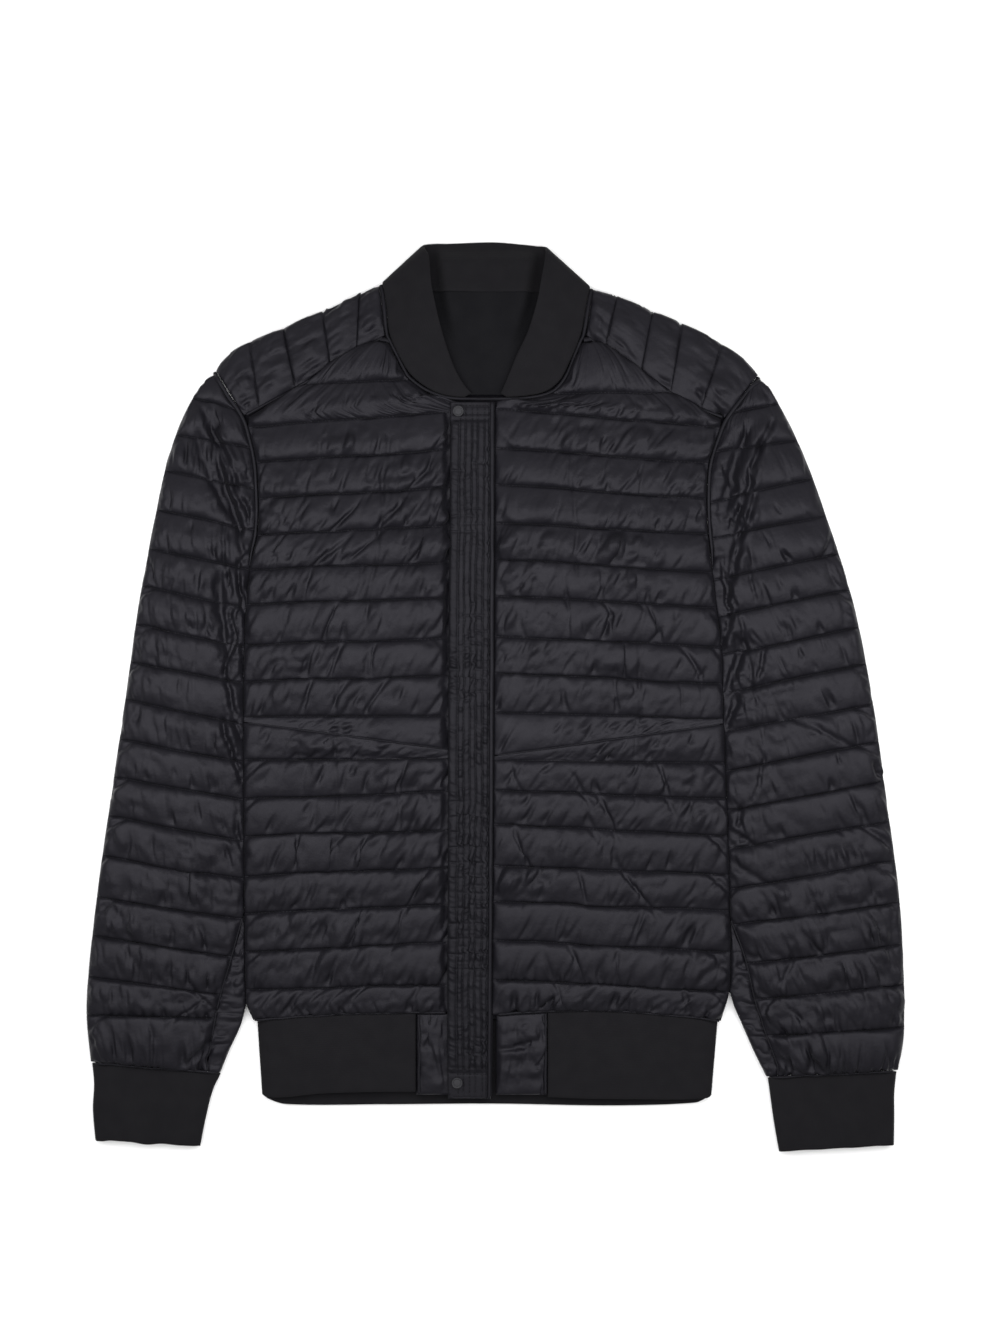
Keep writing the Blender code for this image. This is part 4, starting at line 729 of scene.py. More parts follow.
def creased(grid, per, seed, lean, every=6.5, deep=2.6):
    """The same panel with short creases across its channels, most of them running up
    from the lower stitch line, each steep on one side and gentle on the other. lean is
    how far they go sideways over a full channel, every their mean spacing and deep the
    depth of the deepest."""
    rng = np.random.default_rng(seed)
    rows, columns = grid.shape[:2]
    height = np.zeros((rows, columns))
    v = np.linspace(0.0, 1.0, per + 1)[:, None]
    for channel in range((rows - 1) // per):
        block = channel_rows(channel, per)
        middle = grid[channel * per + per // 2]
        reach = middle[-1, :2] - middle[0, :2]
        total = np.linalg.norm(reach)
        along = (grid[block][..., :2] - middle[0, :2]) @ (reach / total)
        for _ in range(int(total / every)):
            place = rng.uniform(0.03, 0.97) * total
            depth = deep * min(rng.exponential(0.34), 1.0) + 0.1
            steep = rng.uniform(0.8, 1.4)
            gentle = rng.uniform(1.6, 4.6)
            slant = lean * rng.normal(1.0, 0.4)
            bend = rng.normal(0.0, 2.5)
            low = rng.uniform(0.88, 1.0) if rng.random() < 0.74 else rng.uniform(0.4, 0.8)
            top = max(low - rng.uniform(0.3, 0.85), 0.04)
            line = place + slant * (0.5 - v) + bend * np.sin(np.pi * v)
            share = np.clip((v - top) / (low - top), 0.0, 1.0)
            window = np.sin(np.pi * share ** 1.7) ** 0.7 * (v > top) * (v < low + 0.02)
            side = 1.0 if rng.random() < 0.7 else -1.0
            off = (along - line) * side * np.sign(lean)
            width = np.where(off > 0.0, gentle * (0.45 + 0.55 * share), steep)
            ridge = 0.15 * np.exp(-0.5 * ((off + 2.4 * steep) / steep) ** 2)
            height[block] -= depth * window * (np.exp(-0.5 * (off / width) ** 2) - ridge)
    height *= width_share(grid, per)
    return moved_out(grid, height)


def gathered(grid, per, seed, spans, every=6.5, deep=1.5):
    """The same panel with the short upright gathers of a seam: spans gives, for each
    channel that has them, the shares of its height between which they run, the second
    of them at the seam."""
    rng = np.random.default_rng(seed)
    height = np.zeros(grid.shape[:2])
    for channel, (far, near) in spans.items():
        block = channel_rows(channel, per)
        middle = grid[channel * per + per // 2]
        along = lengths_along(middle)
        v = np.linspace(0.0, 1.0, per + 1)[:, None]
        for _ in range(int(along[-1] / every)):
            place = rng.uniform(0.02, 0.98) * along[-1]
            reach = far + (near - far) * rng.uniform(0.0, 0.55)
            t = np.clip((v - reach) / (near - reach), 0.0, 1.0)
            line = place + rng.normal(0.0, 3.0) * (1.0 - t)
            off = (along[None, :] - line) / rng.uniform(1.2, 2.4)
            depth = deep * rng.uniform(0.25, 1.0)
            height[block] -= depth * smooth_step(t / 0.7) * (1.0 - 0.35 * off**2) * np.exp(-0.5 * off**2)
    return moved_out(grid, height)


def crumpled(grid, per, seed, lean, much=1.0, amounts=CRUMPLES):
    """The same panel with the lumps of its soft cloth, parted by sharper valleys that
    lean like its creases and are stronger in some places than in others."""
    rng = np.random.default_rng(seed)
    rows, columns = grid.shape[:2]
    tall = np.linalg.norm(np.diff(grid[:, columns // 2], axis=0), axis=-1).sum()
    wide = np.linalg.norm(np.diff(grid[rows // 2], axis=0), axis=-1).sum()
    channels = (rows - 1) // per
    height = np.zeros((rows, columns))
    for down, across, amount in amounts:
        drift = lean * channels / across
        lumps = np.abs(Unevenness(rng, tall, wide, down, across).at(rows, columns, drift))
        height += amount * (1.6 * lumps - 0.9)
    height *= 0.6 + 0.5 * np.tanh(Unevenness(rng, tall, wide, 55.0, 55.0).at(rows, columns))
    v = (np.arange(rows) % per) / per
    height *= much * np.sin(np.pi * v)[:, None] ** 0.45 * row_share(grid)
    u = np.linspace(0.0, 1.0, columns)
    height *= smooth_step(np.minimum(u, 1.0 - u) * wide / 9.0) * (0.3 + 0.7 * width_share(grid, per))
    return moved_out(grid, height)


def puckered(grid, seed, reach=15.0, pitch=5.6, deep=0.9):
    """The same panel with the short level puckers of the armhole seam at its first column."""
    rng = np.random.default_rng(seed)
    rows, columns = grid.shape[:2]
    edge = grid[:, :1, :2]
    away = np.linalg.norm(grid[..., :2] - edge, axis=-1)
    play = Unevenness(rng, 360.0, 30.0, 14.0, 10.0).at(rows, columns)
    turns = edge[..., 1] / pitch + 0.9 * play
    window = smooth_step((edge[..., 1] - 112.0) / 14.0) * smooth_step((246.0 - edge[..., 1]) / 10.0)
    fade = np.exp(-((away / (reach * (1.0 + 0.3 * play))) ** 2)) * smooth_step(away / 1.5)
    height = deep * (np.abs(np.sin(np.pi * turns)) - 0.6) * window * fade
    return moved_out(grid, height)


def pressed(grid, creases):
    """The same panel with the long fine creases it was folded along for packing."""
    grid = grid.copy()
    for crease in creases:
        t = np.clip((crease.y0 - grid[..., 1]) / (crease.y0 - crease.y1), 0.0, 1.0)
        middle = crease.x0 + (crease.x1 - crease.x0) * t
        middle += crease.wander * (np.sin(9.0 * t + crease.x0) + 0.5 * np.sin(23.0 * t))
        off = (grid[..., 0] - middle) / crease.width
        inside = (grid[..., 1] < crease.y0) * (grid[..., 1] > crease.y1)
        strength = inside * (0.75 + 0.25 * np.sin(31.0 * t)) * np.sin(np.pi * t) ** 0.3
        lip = CREASE_LIP * smooth_step((crease.depth - 2.2) / 2.0)
        profile = (1.0 - 0.3 * off) * np.exp(-0.5 * off**2)
        near, far = (np.exp(-0.5 * ((off + side * 2.5) / 1.2) ** 2) for side in (-1.0, 1.0))
        profile -= lip * (near + 0.7 * far)
        grid[..., 2] -= crease.depth * strength * profile
    return grid


def grooved(grid, per, pitch=33.0, depth=LINE_SINK):
    """The same panel with rows closer at its stitch lines, which lie in a fine groove."""
    places = np.asarray(ROW_PLACES)
    channels = (grid.shape[0] - 1) // per
    sink = depth * np.exp(-((np.minimum(places, 1.0 - places) * pitch / LINE_SINK_REACH) ** 2))
    parts = []
    for channel in range(channels):
        block = smooth_table(np.linspace(0.0, 1.0, per + 1), grid[channel_rows(channel, per)], places)
        block[..., 2] -= sink[:, None]
        parts.append(block[:-1])
    parts.append(block[-1:])
    return np.concatenate(parts), len(places) - 1


# ---------------------------------------------------------------- stitched forms
# A panel's edge is sewn down above one height and below another, and rounded over in
# between; from the place lap_from on it runs flat under the placket.
Edge = namedtuple("Edge", "above below lap_from")
SEWN = Edge(-999.0, -999.0, None)
FREE = Edge(999.0, -999.0, None)


def front_edge_x(sign, y):
    """Where a front ends: the right front under the placket, the left one at its seam."""
    seam = outline([(row[0], row[3]) for row in PLACKET_ROWS], y)
    return seam - (1.0 if sign < 0 else 0.9)


def hem_seam_y(sign, x):
    """The height of the hem seam of a front at x."""
    body_edge = BODY_EDGE_RIGHT if sign < 0 else BODY_EDGE_LEFT
    line = (FRONT_LINES_RIGHT if sign < 0 else FRONT_LINES_LEFT)[-1]
    bow = HEM_BOW_RIGHT if sign < 0 else HEM_BOW_LEFT
    side_x = outline(body_edge, line.side_y)
    t = np.clip((x - side_x) / (front_edge_x(sign, line.front_y) - side_x), 0.0, 1.0)
    return line.side_y + (line.front_y - line.side_y) * t + bow * np.sin(np.pi * t)


def fold_depth(x, y, folds):
    """How deep the long folds are at each point, and how much puff they leave."""
    depth = np.zeros_like(x)
    left = np.ones_like(x)
    for fold in folds:
        along = np.array([fold.x1 - fold.x0, fold.y1 - fold.y0])
        length = np.linalg.norm(along)
        along /= length
        s = ((x - fold.x0) * along[0] + (y - fold.y0) * along[1]) / length
        off = (x - fold.x0) * -along[1] + (y - fold.y0) * along[0]
        # the fold bends a little on its way
        off += 0.05 * length * np.sin(np.pi * s)
        ends = smooth_step(s / 0.22) * smooth_step((1.0 - s) / 0.22)
        share = np.exp(-((off / fold.reach) ** 2)) * ends
        depth += fold.depth * share
        left *= 1.0 - 0.85 * share
    return depth, left


def edge_rise(distance, y, places, edge):
    """How much of its stitched height and of its puff a panel has this far from an edge,
    and where the edge lies under the placket."""
    sewn = np.maximum(smooth_step((y - edge.above + 8.0) / 16.0),
                      smooth_step((edge.below + 8.0 - y) / 16.0))
    folded = round_step(distance / FOLD_REACH)
    rise = sewn + (1.0 - sewn) * folded
    puff = sewn * smooth_step((distance + 1.5) / 6.0) + (1.0 - sewn) * (0.12 + 0.88 * folded)
    if edge.lap_from is None:
        return rise, puff, np.zeros_like(distance, bool)
    reach = (LAP_REACH * smooth_step((places - edge.lap_from) / 0.25))[:, None]
    puff = np.where(reach > 1.0, smooth_step((distance - reach) / 5.0), puff)
    return rise, puff, distance < reach - 1.0


def upper_form(ends_at, edges, fullness, folds=(), flat=33.0, crest=None):
    """The stitched form of a panel of the upper layer, as quilted() reads it.

    crest(places, t, y) gives the height of a channel that a seam crosses, and where."""

    def spots(places, fractions):
        start, end, bow = ends_at(places)
        length = np.linalg.norm(end - start, axis=-1)[:, None]
        gap = 0.5 * CLOSE_GAP / length
        t = gap + (1.0 - 2.0 * gap) * fractions[None, :]
        spot = start[:, None, :] + (end - start)[:, None, :] * t[..., None]
        spot[..., 1] += bow[:, None] * np.sin(np.pi * t)
        return spot, t, length

    def base_at(places, fractions):
        spot, t, length = spots(places, fractions)
        last = np.ceil(places[-1])
        above = np.minimum(np.floor(places + 1e-9), last - 1)
        pitch = np.linalg.norm(spots(above + 1, fractions)[0] - spots(above, fractions)[0], axis=-1)
        rise = np.ones_like(t)
        room = np.minimum(pitch / flat, 1.0)
        held = np.zeros_like(t, bool)
        end_y = spot[:, :1, 1], spot[:, -1:, 1]
        for distance, y, edge in ((t * length, end_y[0], edges[0]),
                                  ((1.0 - t) * length, end_y[1], edges[1])):
            base_part, puff_part, under = edge_rise(distance, y, places, edge)
            rise = np.minimum(rise, base_part)
            room = room * puff_part
            held |= under
        full = (fullness(places) * np.ones(len(places)))[:, None]
        crown = full * np.sin(np.pi * t) * np.minimum(room * 1.6, 1.0)
        depth, left = fold_depth(spot[..., 0], spot[..., 1], folds)
        z = UPPER_LOW + FOLD_RIM + rise * (STITCH_WALL - FOLD_RIM) + crown - depth
        if crest is not None:
            height, crossed = crest(places, t, spot[..., 1])
            edge_room = np.minimum(room * flat / np.maximum(pitch, 1.0), 1.0)
            z = z + height * edge_room
            held |= crossed
        return np.dstack([spot, np.maximum(z, UPPER_LOW + 0.9)]), room * left, held

    return base_at


def line_ends(lines, body_edge, sign, hem_bow, places):
    """Both ends of the rows of a front at these places among its quilting lines."""
    numbers = np.arange(len(lines))
    side_y = np.interp(places, numbers, [line.side_y for line in lines])
    front_y = np.interp(places, numbers, [line.front_y for line in lines])
    start = np.stack([outline(body_edge, side_y), side_y], axis=-1)
    end = np.stack([front_edge_x(sign, front_y), front_y], axis=-1)
    hem_y = (FRONT_LINES_RIGHT if sign < 0 else FRONT_LINES_LEFT)[-1].side_y
    bow = hem_bow * smooth_step(1.0 - (side_y - hem_y) / HEM_BOW_REACH)
    return start, end, bow


def front_upper_ends(neck_rows, lines, body_edge, sign):
    """Row ends of the panel above the waist seam, from the point at the neck down."""
    def ends_at(places):
        place = places - 1.0
        start, end, bow = line_ends(lines, body_edge, sign, 0.0, np.maximum(place - 1.0, 0.0))
        neck = [tuple(row) for row in neck_rows]
        neck.append((1.0, start[0, 0], start[0, 1], end[0, 0], end[0, 1]))
        if place[0] >= 1.0:
            first = line_ends(lines, body_edge, sign, 0.0, np.zeros(1))
            neck[-1] = (1.0, first[0][0, 0], first[0][0, 1], first[1][0, 0], first[1][0, 1])
        neck = np.asarray(neck, float)
        read = np.stack([np.interp(place, neck[:, 0], neck[:, i]) for i in range(1, 5)], axis=-1)
        top = place < 1.0
        start[top] = read[top, :2]
        end[top] = read[top, 2:]
        return start, end, bow
    return ends_at


def sleeve_inner_x(armhole, body_edge, crevice, sign, y, cord_room=CORD_ROOM):
    """The sleeve's inner edge: the armhole seam, then beside the body, then free of it."""
    gap = CLOSE_GAP + cord_room * smooth_step((y - ARMHOLE_FOOT) / 14.0)
    x = np.where(y >= armhole[-1][0], outline(armhole, y), outline(body_edge, y)) + sign * gap
    return np.where(y <= crevice[0][0], outline(crevice, y), x)


def sleeve_ends(outer, armhole, body_edge, crevice, seam, sign, lines):
    """Row ends of an upper sleeve, from the shoulder to the cuff."""
    numbers = np.arange(len(lines))

    def ends_at(places):
        outer_y = np.interp(places, numbers, [line.outer_y for line in lines])
        inner_y = np.interp(places, numbers, [line.inner_y for line in lines])
        start = np.stack([outline(outer, outer_y), outer_y], axis=-1)
        inner = sleeve_inner_x(armhole, body_edge, crevice, sign, inner_y)
        strip = np.where(inner_y < seam[0][0], (outline(seam, inner_y) - inner) * sign, 0.0)
        inner = inner + sign * np.maximum(strip, 0.0)
        return start, np.stack([inner, inner_y], axis=-1), np.zeros(len(places))
    return ends_at


# ---------------------------------------------------------------- meshes
def finished(name, points, faces, finish, uv=None, smooth=True):
    """A mesh object from points in millimetres, facing out."""
    points = np.asarray(points, float) * MM
    mesh = bpy.data.meshes.new(name)
    mesh.from_pydata(points.tolist(), [], faces)
    mesh.update()
    if uv is not None:
        layer = mesh.uv_layers.new(name="UVMap")
        corner = np.zeros(len(mesh.loops), np.int32)
        mesh.loops.foreach_get("vertex_index", corner)
        layer.data.foreach_set("uv", (np.asarray(uv, float) * MM)[corner].astype(np.float32).ravel())
    mesh.materials.append(finish)
    if smooth:
        mesh.shade_smooth()
    made = bpy.data.objects.new(name, mesh)
    bpy.context.scene.collection.objects.link(made)
    return made


def turned_out(points, faces):
    """The faces of a closed mesh, turned to face out."""
    points = np.asarray(points, float)
    volume = 0.0
    for face in faces:
        a = points[face[0]]
        for b, c in zip(face[1:-1], face[2:]):
            volume += np.dot(a, np.cross(points[b], points[c]))
    return faces if volume > 0 else [tuple(reversed(face)) for face in faces]


def grid_faces(rows, columns, lift=0, flip=False):
    """Quads of a grid of points."""
    number = np.arange(rows * columns).reshape(rows, columns) + lift
    quads = np.stack([number[:-1, :-1], number[:-1, 1:], number[1:, 1:], number[1:, :-1]], axis=-1)
    quads = quads.reshape(-1, 4)
    return [tuple(quad) for quad in (quads[:, ::-1] if flip else quads).tolist()]


def ring_faces(rows, sides):
    """Quads of rows of closed rings."""
    faces = []
    for row in range(rows - 1):
        for column in range(sides):
            a, b = row * sides + column, row * sides + (column + 1) % sides
            faces.append((a, b, b + sides, a + sides))
    return faces


def circle(count):
    """Angles all round, evenly spaced."""
    return np.linspace(0.0, 2 * np.pi, count, endpoint=False)


def ring_sides(ways):
    """The directions sideways and up for a path that runs these ways."""
    along = ways / np.linalg.norm(ways, axis=1, keepdims=True)
    side = np.cross(along, (0.0, 0.0, 1.0))
    side /= np.linalg.norm(side, axis=1, keepdims=True)
    return side, np.cross(side, along)


def rim_numbers(rows, columns):
    """The numbers of the points round the rim of a grid."""
    number = np.arange(rows * columns).reshape(rows, columns)
    return np.concatenate([number[0], number[1:, -1], number[-1, -2::-1], number[-2:0:-1, 0]]).tolist()


def grid_uv(grid):
    """Lengths along and across a grid, for its weave."""
    across = np.cumsum(np.r_[0.0, np.linalg.norm(np.diff(grid, axis=1), axis=-1).mean(0)])
    down = np.cumsum(np.r_[0.0, np.linalg.norm(np.diff(grid, axis=0), axis=-1).mean(1)])
    return np.stack(np.meshgrid(across, down), axis=-1).reshape(-1, 2)


def shell(name, grid, plane_z, finish):
    """A closed piece: a fine grid over a flat face at plane_z."""
    rows, columns = grid.shape[:2]
    rim = rim_numbers(rows, columns)
    top = grid.reshape(-1, 3)
    drop = top[rim].copy()
    drop[:, 2] = plane_z
    lift = len(top)
    ring = [lift + i for i in range(len(rim))]
    faces = grid_faces(rows, columns)
    for i, a in enumerate(rim):
        after = (i + 1) % len(rim)
        faces.append((rim[after], a, ring[i], ring[after]))
    faces.append(tuple(ring[::-1]))
    uv = grid_uv(grid)
    looks_up = normals_of(grid, -1.0)[..., 2].mean() > 0
    if looks_up != (plane_z < grid[..., 2].mean()):
        faces = [tuple(reversed(face)) for face in faces]
    return finished(name, np.vstack([top, drop]), faces, finish, np.vstack([uv, uv[rim]]))


def wall(name, outer, inner, finish):
    """A cloth wall between two grids of points."""
    rows, columns = outer.shape[:2]
    lift = rows * columns
    faces = grid_faces(rows, columns) + grid_faces(rows, columns, lift, flip=True)
    rim = rim_numbers(rows, columns)
    for a, b in zip(rim, rim[1:] + rim[:1]):
        faces.append((b, a, lift + a, lift + b))
    points = np.vstack([outer.reshape(-1, 3), inner.reshape(-1, 3)])
    uv = grid_uv(outer)
    return finished(name, points, turned_out(points, faces), finish, np.vstack([uv, uv]))


def ring_wall(name, outer, inner, finish):
    """A tube wall: each row of both grids is a closed ring."""
    rows, columns = outer.shape[:2]
    lift = rows * columns
    faces = []
    for a, b, c, d in ring_faces(rows, columns):
        faces += [(a, b, c, d), (lift + a, lift + d, lift + c, lift + b)]
    for row, turn in ((0, True), (rows - 1, False)):
        for column in range(columns):
            a, b = row * columns + column, row * columns + (column + 1) % columns
            face = (a, b, lift + b, lift + a)
            faces.append(tuple(reversed(face)) if turn else face)
    points = np.vstack([outer.reshape(-1, 3), inner.reshape(-1, 3)])
    uv = grid_uv(outer)
    return finished(name, points, turned_out(points, faces), finish, np.vstack([uv, uv]))


def tube(name, path, radius, finish, sides=10, squash=1.0):
    """A round cord of cloth along a path of points."""
    path = np.asarray(path, float)
    side, up = ring_sides(np.gradient(path, axis=0))
    angle = circle(sides)[None, :, None]
    round_part = np.cos(angle) * side[:, None] + squash * np.sin(angle) * up[:, None]
    radius = np.broadcast_to(np.asarray(radius, float), (len(path),))
    points = path[:, None] + radius[:, None, None] * round_part
    faces = ring_faces(len(path), sides)
    faces.append(tuple(range(sides))[::-1])
    faces.append(tuple(range((len(path) - 1) * sides, len(path) * sides)))
    points = points.reshape(-1, 3)
    around = np.arange(sides) * 2 * np.pi * radius[0] / sides
    uv = np.stack(np.meshgrid(around, lengths_along(path)), axis=-1).reshape(-1, 2)
    return finished(name, points, turned_out(points, faces), finish, uv)


def stitches(name, paths, finish, pitch=3.1, long=2.3, thick=0.3, proud=0.12, sides=4):
    """Rows of thread: one small arched body for each stitch along each path."""
    angle = circle(sides)[None, :, None]
    points = []
    for path in paths:
        path = np.asarray(path, float)
        length = lengths_along(path)
        if length[-1] < 2 * pitch:
            continue
        middle = np.arange(0.8 * pitch, length[-1] - 0.5 * pitch, pitch)

        def on_path(at):
            return np.stack([np.interp(at, length, path[:, i]) for i in range(3)], axis=-1)

        first, last = on_path(middle - long / 2), on_path(middle + long / 2)
        side, up = ring_sides(last - first)
        rings = []
        for share, size, lift in STITCH_RINGS:
            centre = between(first, last, share) + up * (proud + lift * thick)
            rings.append(centre[:, None] + size * thick * (np.cos(angle) * side[:, None]
                                                           + np.sin(angle) * up[:, None]))
        points.append(np.stack(rings, axis=1).reshape(len(middle), -1, 3))
    points = np.concatenate(points)
    each = points.shape[1]
    caps = [tuple(range(sides))[::-1], tuple(range(each - sides, each))]
    sample = turned_out(points[0], ring_faces(len(STITCH_RINGS), sides) + caps)
    faces = []
    for k in range(len(points)):
        faces += [tuple(number + k * each for number in face) for face in sample]
    return finished(name, points.reshape(-1, 3), faces, finish)


# ---------------------------------------------------------------- materials
def add_node(tree, kind, links=None, **values):
    """A node, with its sockets set by name and linked from (node, socket)."""
    made = tree.nodes.new(kind)
    for key, value in values.items():
        if hasattr(made, key):
            setattr(made, key, value)
        else:
            made.inputs[key].default_value = value
    for key, (source, socket) in (links or {}).items():
        tree.links.new(source.outputs[socket], made.inputs[key])
    return made


def set_sockets(node, **values):
    """Set a node's constants; a socket's name is written with _ in place of its spaces."""
    for key, value in values.items():
        node.inputs[key.replace("_", " ")].default_value = value


def start_material(name, colour, roughness):
    """A Principled material and its tree, with the constants set on the shader."""
    made = bpy.data.materials.new(name)
    made.use_nodes = True
    tree = made.node_tree
    shader = tree.nodes["Principled BSDF"]
    set_sockets(shader, Base_Color=(*colour, 1.0), Roughness=roughness)
    made.diffuse_color = (*colour, 1.0)
    return made, tree, shader


def yarn_bands(tree, place, way, scale, distortion):
    """Bands of yarn across one way of the cloth."""
    return add_node(tree, "ShaderNodeTexWave", {"Vector": (place, "UV")}, wave_type="BANDS",
                    bands_direction=way, Scale=scale, Distortion=distortion)


def two_tones(tree, coordinates, low, high, scale):
    """A slow drift between two colours."""
    noise = add_node(tree, "ShaderNodeTexNoise", {"Vector": (coordinates, "Object")}, Scale=scale,
                     Detail=3.0)
    ramp = add_node(tree, "ShaderNodeValToRGB", {"Fac": (noise, "Fac")})
    for stop, position, colour in zip(ramp.color_ramp.elements, (0.35, 0.65), (low, high)):
        stop.position = position
        stop.color = (*colour, 1.0)
    return ramp


def nylon(name, low, high, smooth, rough, shine=0.25, weave=0.45):
    """Downproof nylon: a close plain weave with an uneven soft gloss."""
    made, tree, shader = start_material(name, high, rough)
    place = add_node(tree, "ShaderNodeTexCoord")
    tone = two_tones(tree, place, low, high, 55.0)
    tree.links.new(tone.outputs["Color"], shader.inputs["Base Color"])
    patches = add_node(tree, "ShaderNodeTexNoise", {"Vector": (place, "Object")}, Scale=90.0, Detail=4.0)
    gloss = add_node(tree, "ShaderNodeMapRange", {"Value": (patches, "Fac")})
    set_sockets(gloss, From_Min=0.3, From_Max=0.7, To_Min=smooth, To_Max=rough)
    tree.links.new(gloss.outputs["Result"], shader.inputs["Roughness"])
    warp, weft = (yarn_bands(tree, place, way, 300.0 / weave, 0.4) for way in "XY")
    yarns = add_node(tree, "ShaderNodeMath", {0: (warp, "Fac"), 1: (weft, "Fac")}, operation="MAXIMUM")
    bump = add_node(tree, "ShaderNodeBump", {"Height": (yarns, "Value")}, Strength=0.12, Distance=0.0001)
    soft = add_node(tree, "ShaderNodeTexNoise", {"Vector": (place, "Object")}, Scale=260.0, Detail=3.0,
                    Roughness=0.6)
    ripple = add_node(tree, "ShaderNodeBump", {"Height": (soft, "Fac"), "Normal": (bump, "Normal")},
                      Strength=0.5, Distance=0.0006)
    tree.links.new(ripple.outputs["Normal"], shader.inputs["Normal"])
    set_sockets(shader, Sheen_Weight=0.02, Sheen_Roughness=0.4, Specular_IOR_Level=shine,
                Specular_Tint=GLOSS_TINT)
    return made


def knit(name, low, high, rib=2.1, loop=0.8, depth=0.00025):
    """Fine rib knit: close ribs of small loops, matte with a short nap."""
    made, tree, shader = start_material(name, high, 0.9)
    place = add_node(tree, "ShaderNodeTexCoord")
    tone = two_tones(tree, place, low, high, 70.0)
    tree.links.new(tone.outputs["Color"], shader.inputs["Base Color"])
    ribs = yarn_bands(tree, place, "X", 314.0 / rib, 0.3)
    loops = yarn_bands(tree, place, "Y", 314.0 / loop, 0.8)
    both = add_node(tree, "ShaderNodeMath", {0: (ribs, "Fac"), 1: (loops, "Fac")}, operation="MULTIPLY_ADD")
    both.inputs[2].default_value = 0.0
    bump = add_node(tree, "ShaderNodeBump", {"Height": (both, "Value")}, Strength=0.35, Distance=depth)
    fuzz = add_node(tree, "ShaderNodeTexNoise", {"Vector": (place, "Object")}, Scale=1400.0, Detail=2.0)
    nap = add_node(tree, "ShaderNodeBump", {"Height": (fuzz, "Fac"), "Normal": (bump, "Normal")},
                   Strength=0.3, Distance=0.0002)
    tree.links.new(nap.outputs["Normal"], shader.inputs["Normal"])
    set_sockets(shader, Sheen_Weight=0.02, Sheen_Roughness=0.5, Specular_IOR_Level=0.05)
    return made


def plain(name, colour, roughness, metallic=0.0, grain=400.0, strength=0.1, shine=0.5):
    """A plain material with a fine grain."""
    made, tree, shader = start_material(name, colour, roughness)
    set_sockets(shader, Specular_IOR_Level=shine, Specular_Tint=GLOSS_TINT, Metallic=metallic)
    place = add_node(tree, "ShaderNodeTexCoord")
    noise = add_node(tree, "ShaderNodeTexNoise", {"Vector": (place, "Object")}, Scale=grain, Detail=4.0)
    bump = add_node(tree, "ShaderNodeBump", {"Height": (noise, "Fac")}, Strength=strength, Distance=0.0003)
    tree.links.new(bump.outputs["Normal"], shader.inputs["Normal"])
    return made


SHELL = nylon("nylon_shell", (0.0050, 0.0047, 0.0064), (0.0064, 0.0061, 0.0080), 0.36, 0.46, shine=0.118)
TRIM = nylon("nylon_trim", (0.0048, 0.0046, 0.0060), (0.0060, 0.0058, 0.0074), 0.42, 0.52, shine=0.09)
KNIT = knit("rib_knit", (0.0068, 0.0065, 0.0076), (0.0077, 0.0074, 0.0085))
LINING = nylon("lining_cloth", (0.0053, 0.0053, 0.0061), (0.0061, 0.0061, 0.0069), 0.8, 0.9, shine=0.03)
THREAD = plain("thread", (0.006, 0.006, 0.007), 0.7, shine=0.1)
SNAP = plain("snap_enamel", (0.024, 0.024, 0.026), 0.5, 0.1, 900.0, 0.2, shine=0.10)


# ---------------------------------------------------------------- pieces
def on_frame(piece, slot, *nodes):
    """A finished piece rides on the jacket's one body and stands for its solids."""
    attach(piece, "root")
    if nodes:
        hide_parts(*nodes)
    return piece


def line_paths(grid, per, lines, lift=0.0, skip=2):
    """The paths of a quilted panel's stitch rows, from its simulated points."""
    return [grid[line * per, skip:-skip] + (0.0, 0.0, lift) for line in lines]


SIDES = {
    "right": (-1, BODY_EDGE_RIGHT, NECK_ROWS_RIGHT, FRONT_LINES_RIGHT, WAIST_RIGHT, HEM_BOW_RIGHT),
    "left": (1, BODY_EDGE_LEFT, NECK_ROWS_LEFT, FRONT_LINES_LEFT, WAIST_LEFT, HEM_BOW_LEFT),
}
SLEEVES = {
    "right": (-1, SLEEVE_OUTER_RIGHT, ARMHOLE_RIGHT, BODY_EDGE_RIGHT, CREVICE_RIGHT, SLEEVE_SEAM_RIGHT,
              SLEEVE_LINES_RIGHT),
    "left": (1, SLEEVE_OUTER_LEFT, ARMHOLE_LEFT, BODY_EDGE_LEFT, CREVICE_LEFT, SLEEVE_SEAM_LEFT,
             SLEEVE_LINES_LEFT),
}
def skew_of(heights, first=0):
    """Which way the filling lies in channels whose lines are at these heights."""
    def skew(places):
        y = np.interp(places, np.arange(len(heights)) + first, heights)
        crest = 0.53 - 0.12 * np.tanh((CHEST_Y - y) / 45.0)
        return math.log(0.5) / np.log(crest)
    return skew


def knit_gathers(lines):
    """The gathers of a panel's last two channels, above its knit piece."""
    return {len(lines) - 2: (0.1, 1.0), len(lines) - 3: (0.6, 1.0)}


def worn(grid, per, seed, lean, creases, gathers=None, calm=0.0):
    """A simulated panel with its creases, crumples and stitch grooves."""
    grid = creased(mellowed(grid, per, calm=calm), per, seed + CREASE_SEED, lean)
    if gathers:
        grid = gathered(grid, per, seed + GATHER_SEED, gathers)
    grid = crumpled(grid, per, seed + CRUMPLE_SEED, lean)
    return grooved(pressed(grid, creases), per)


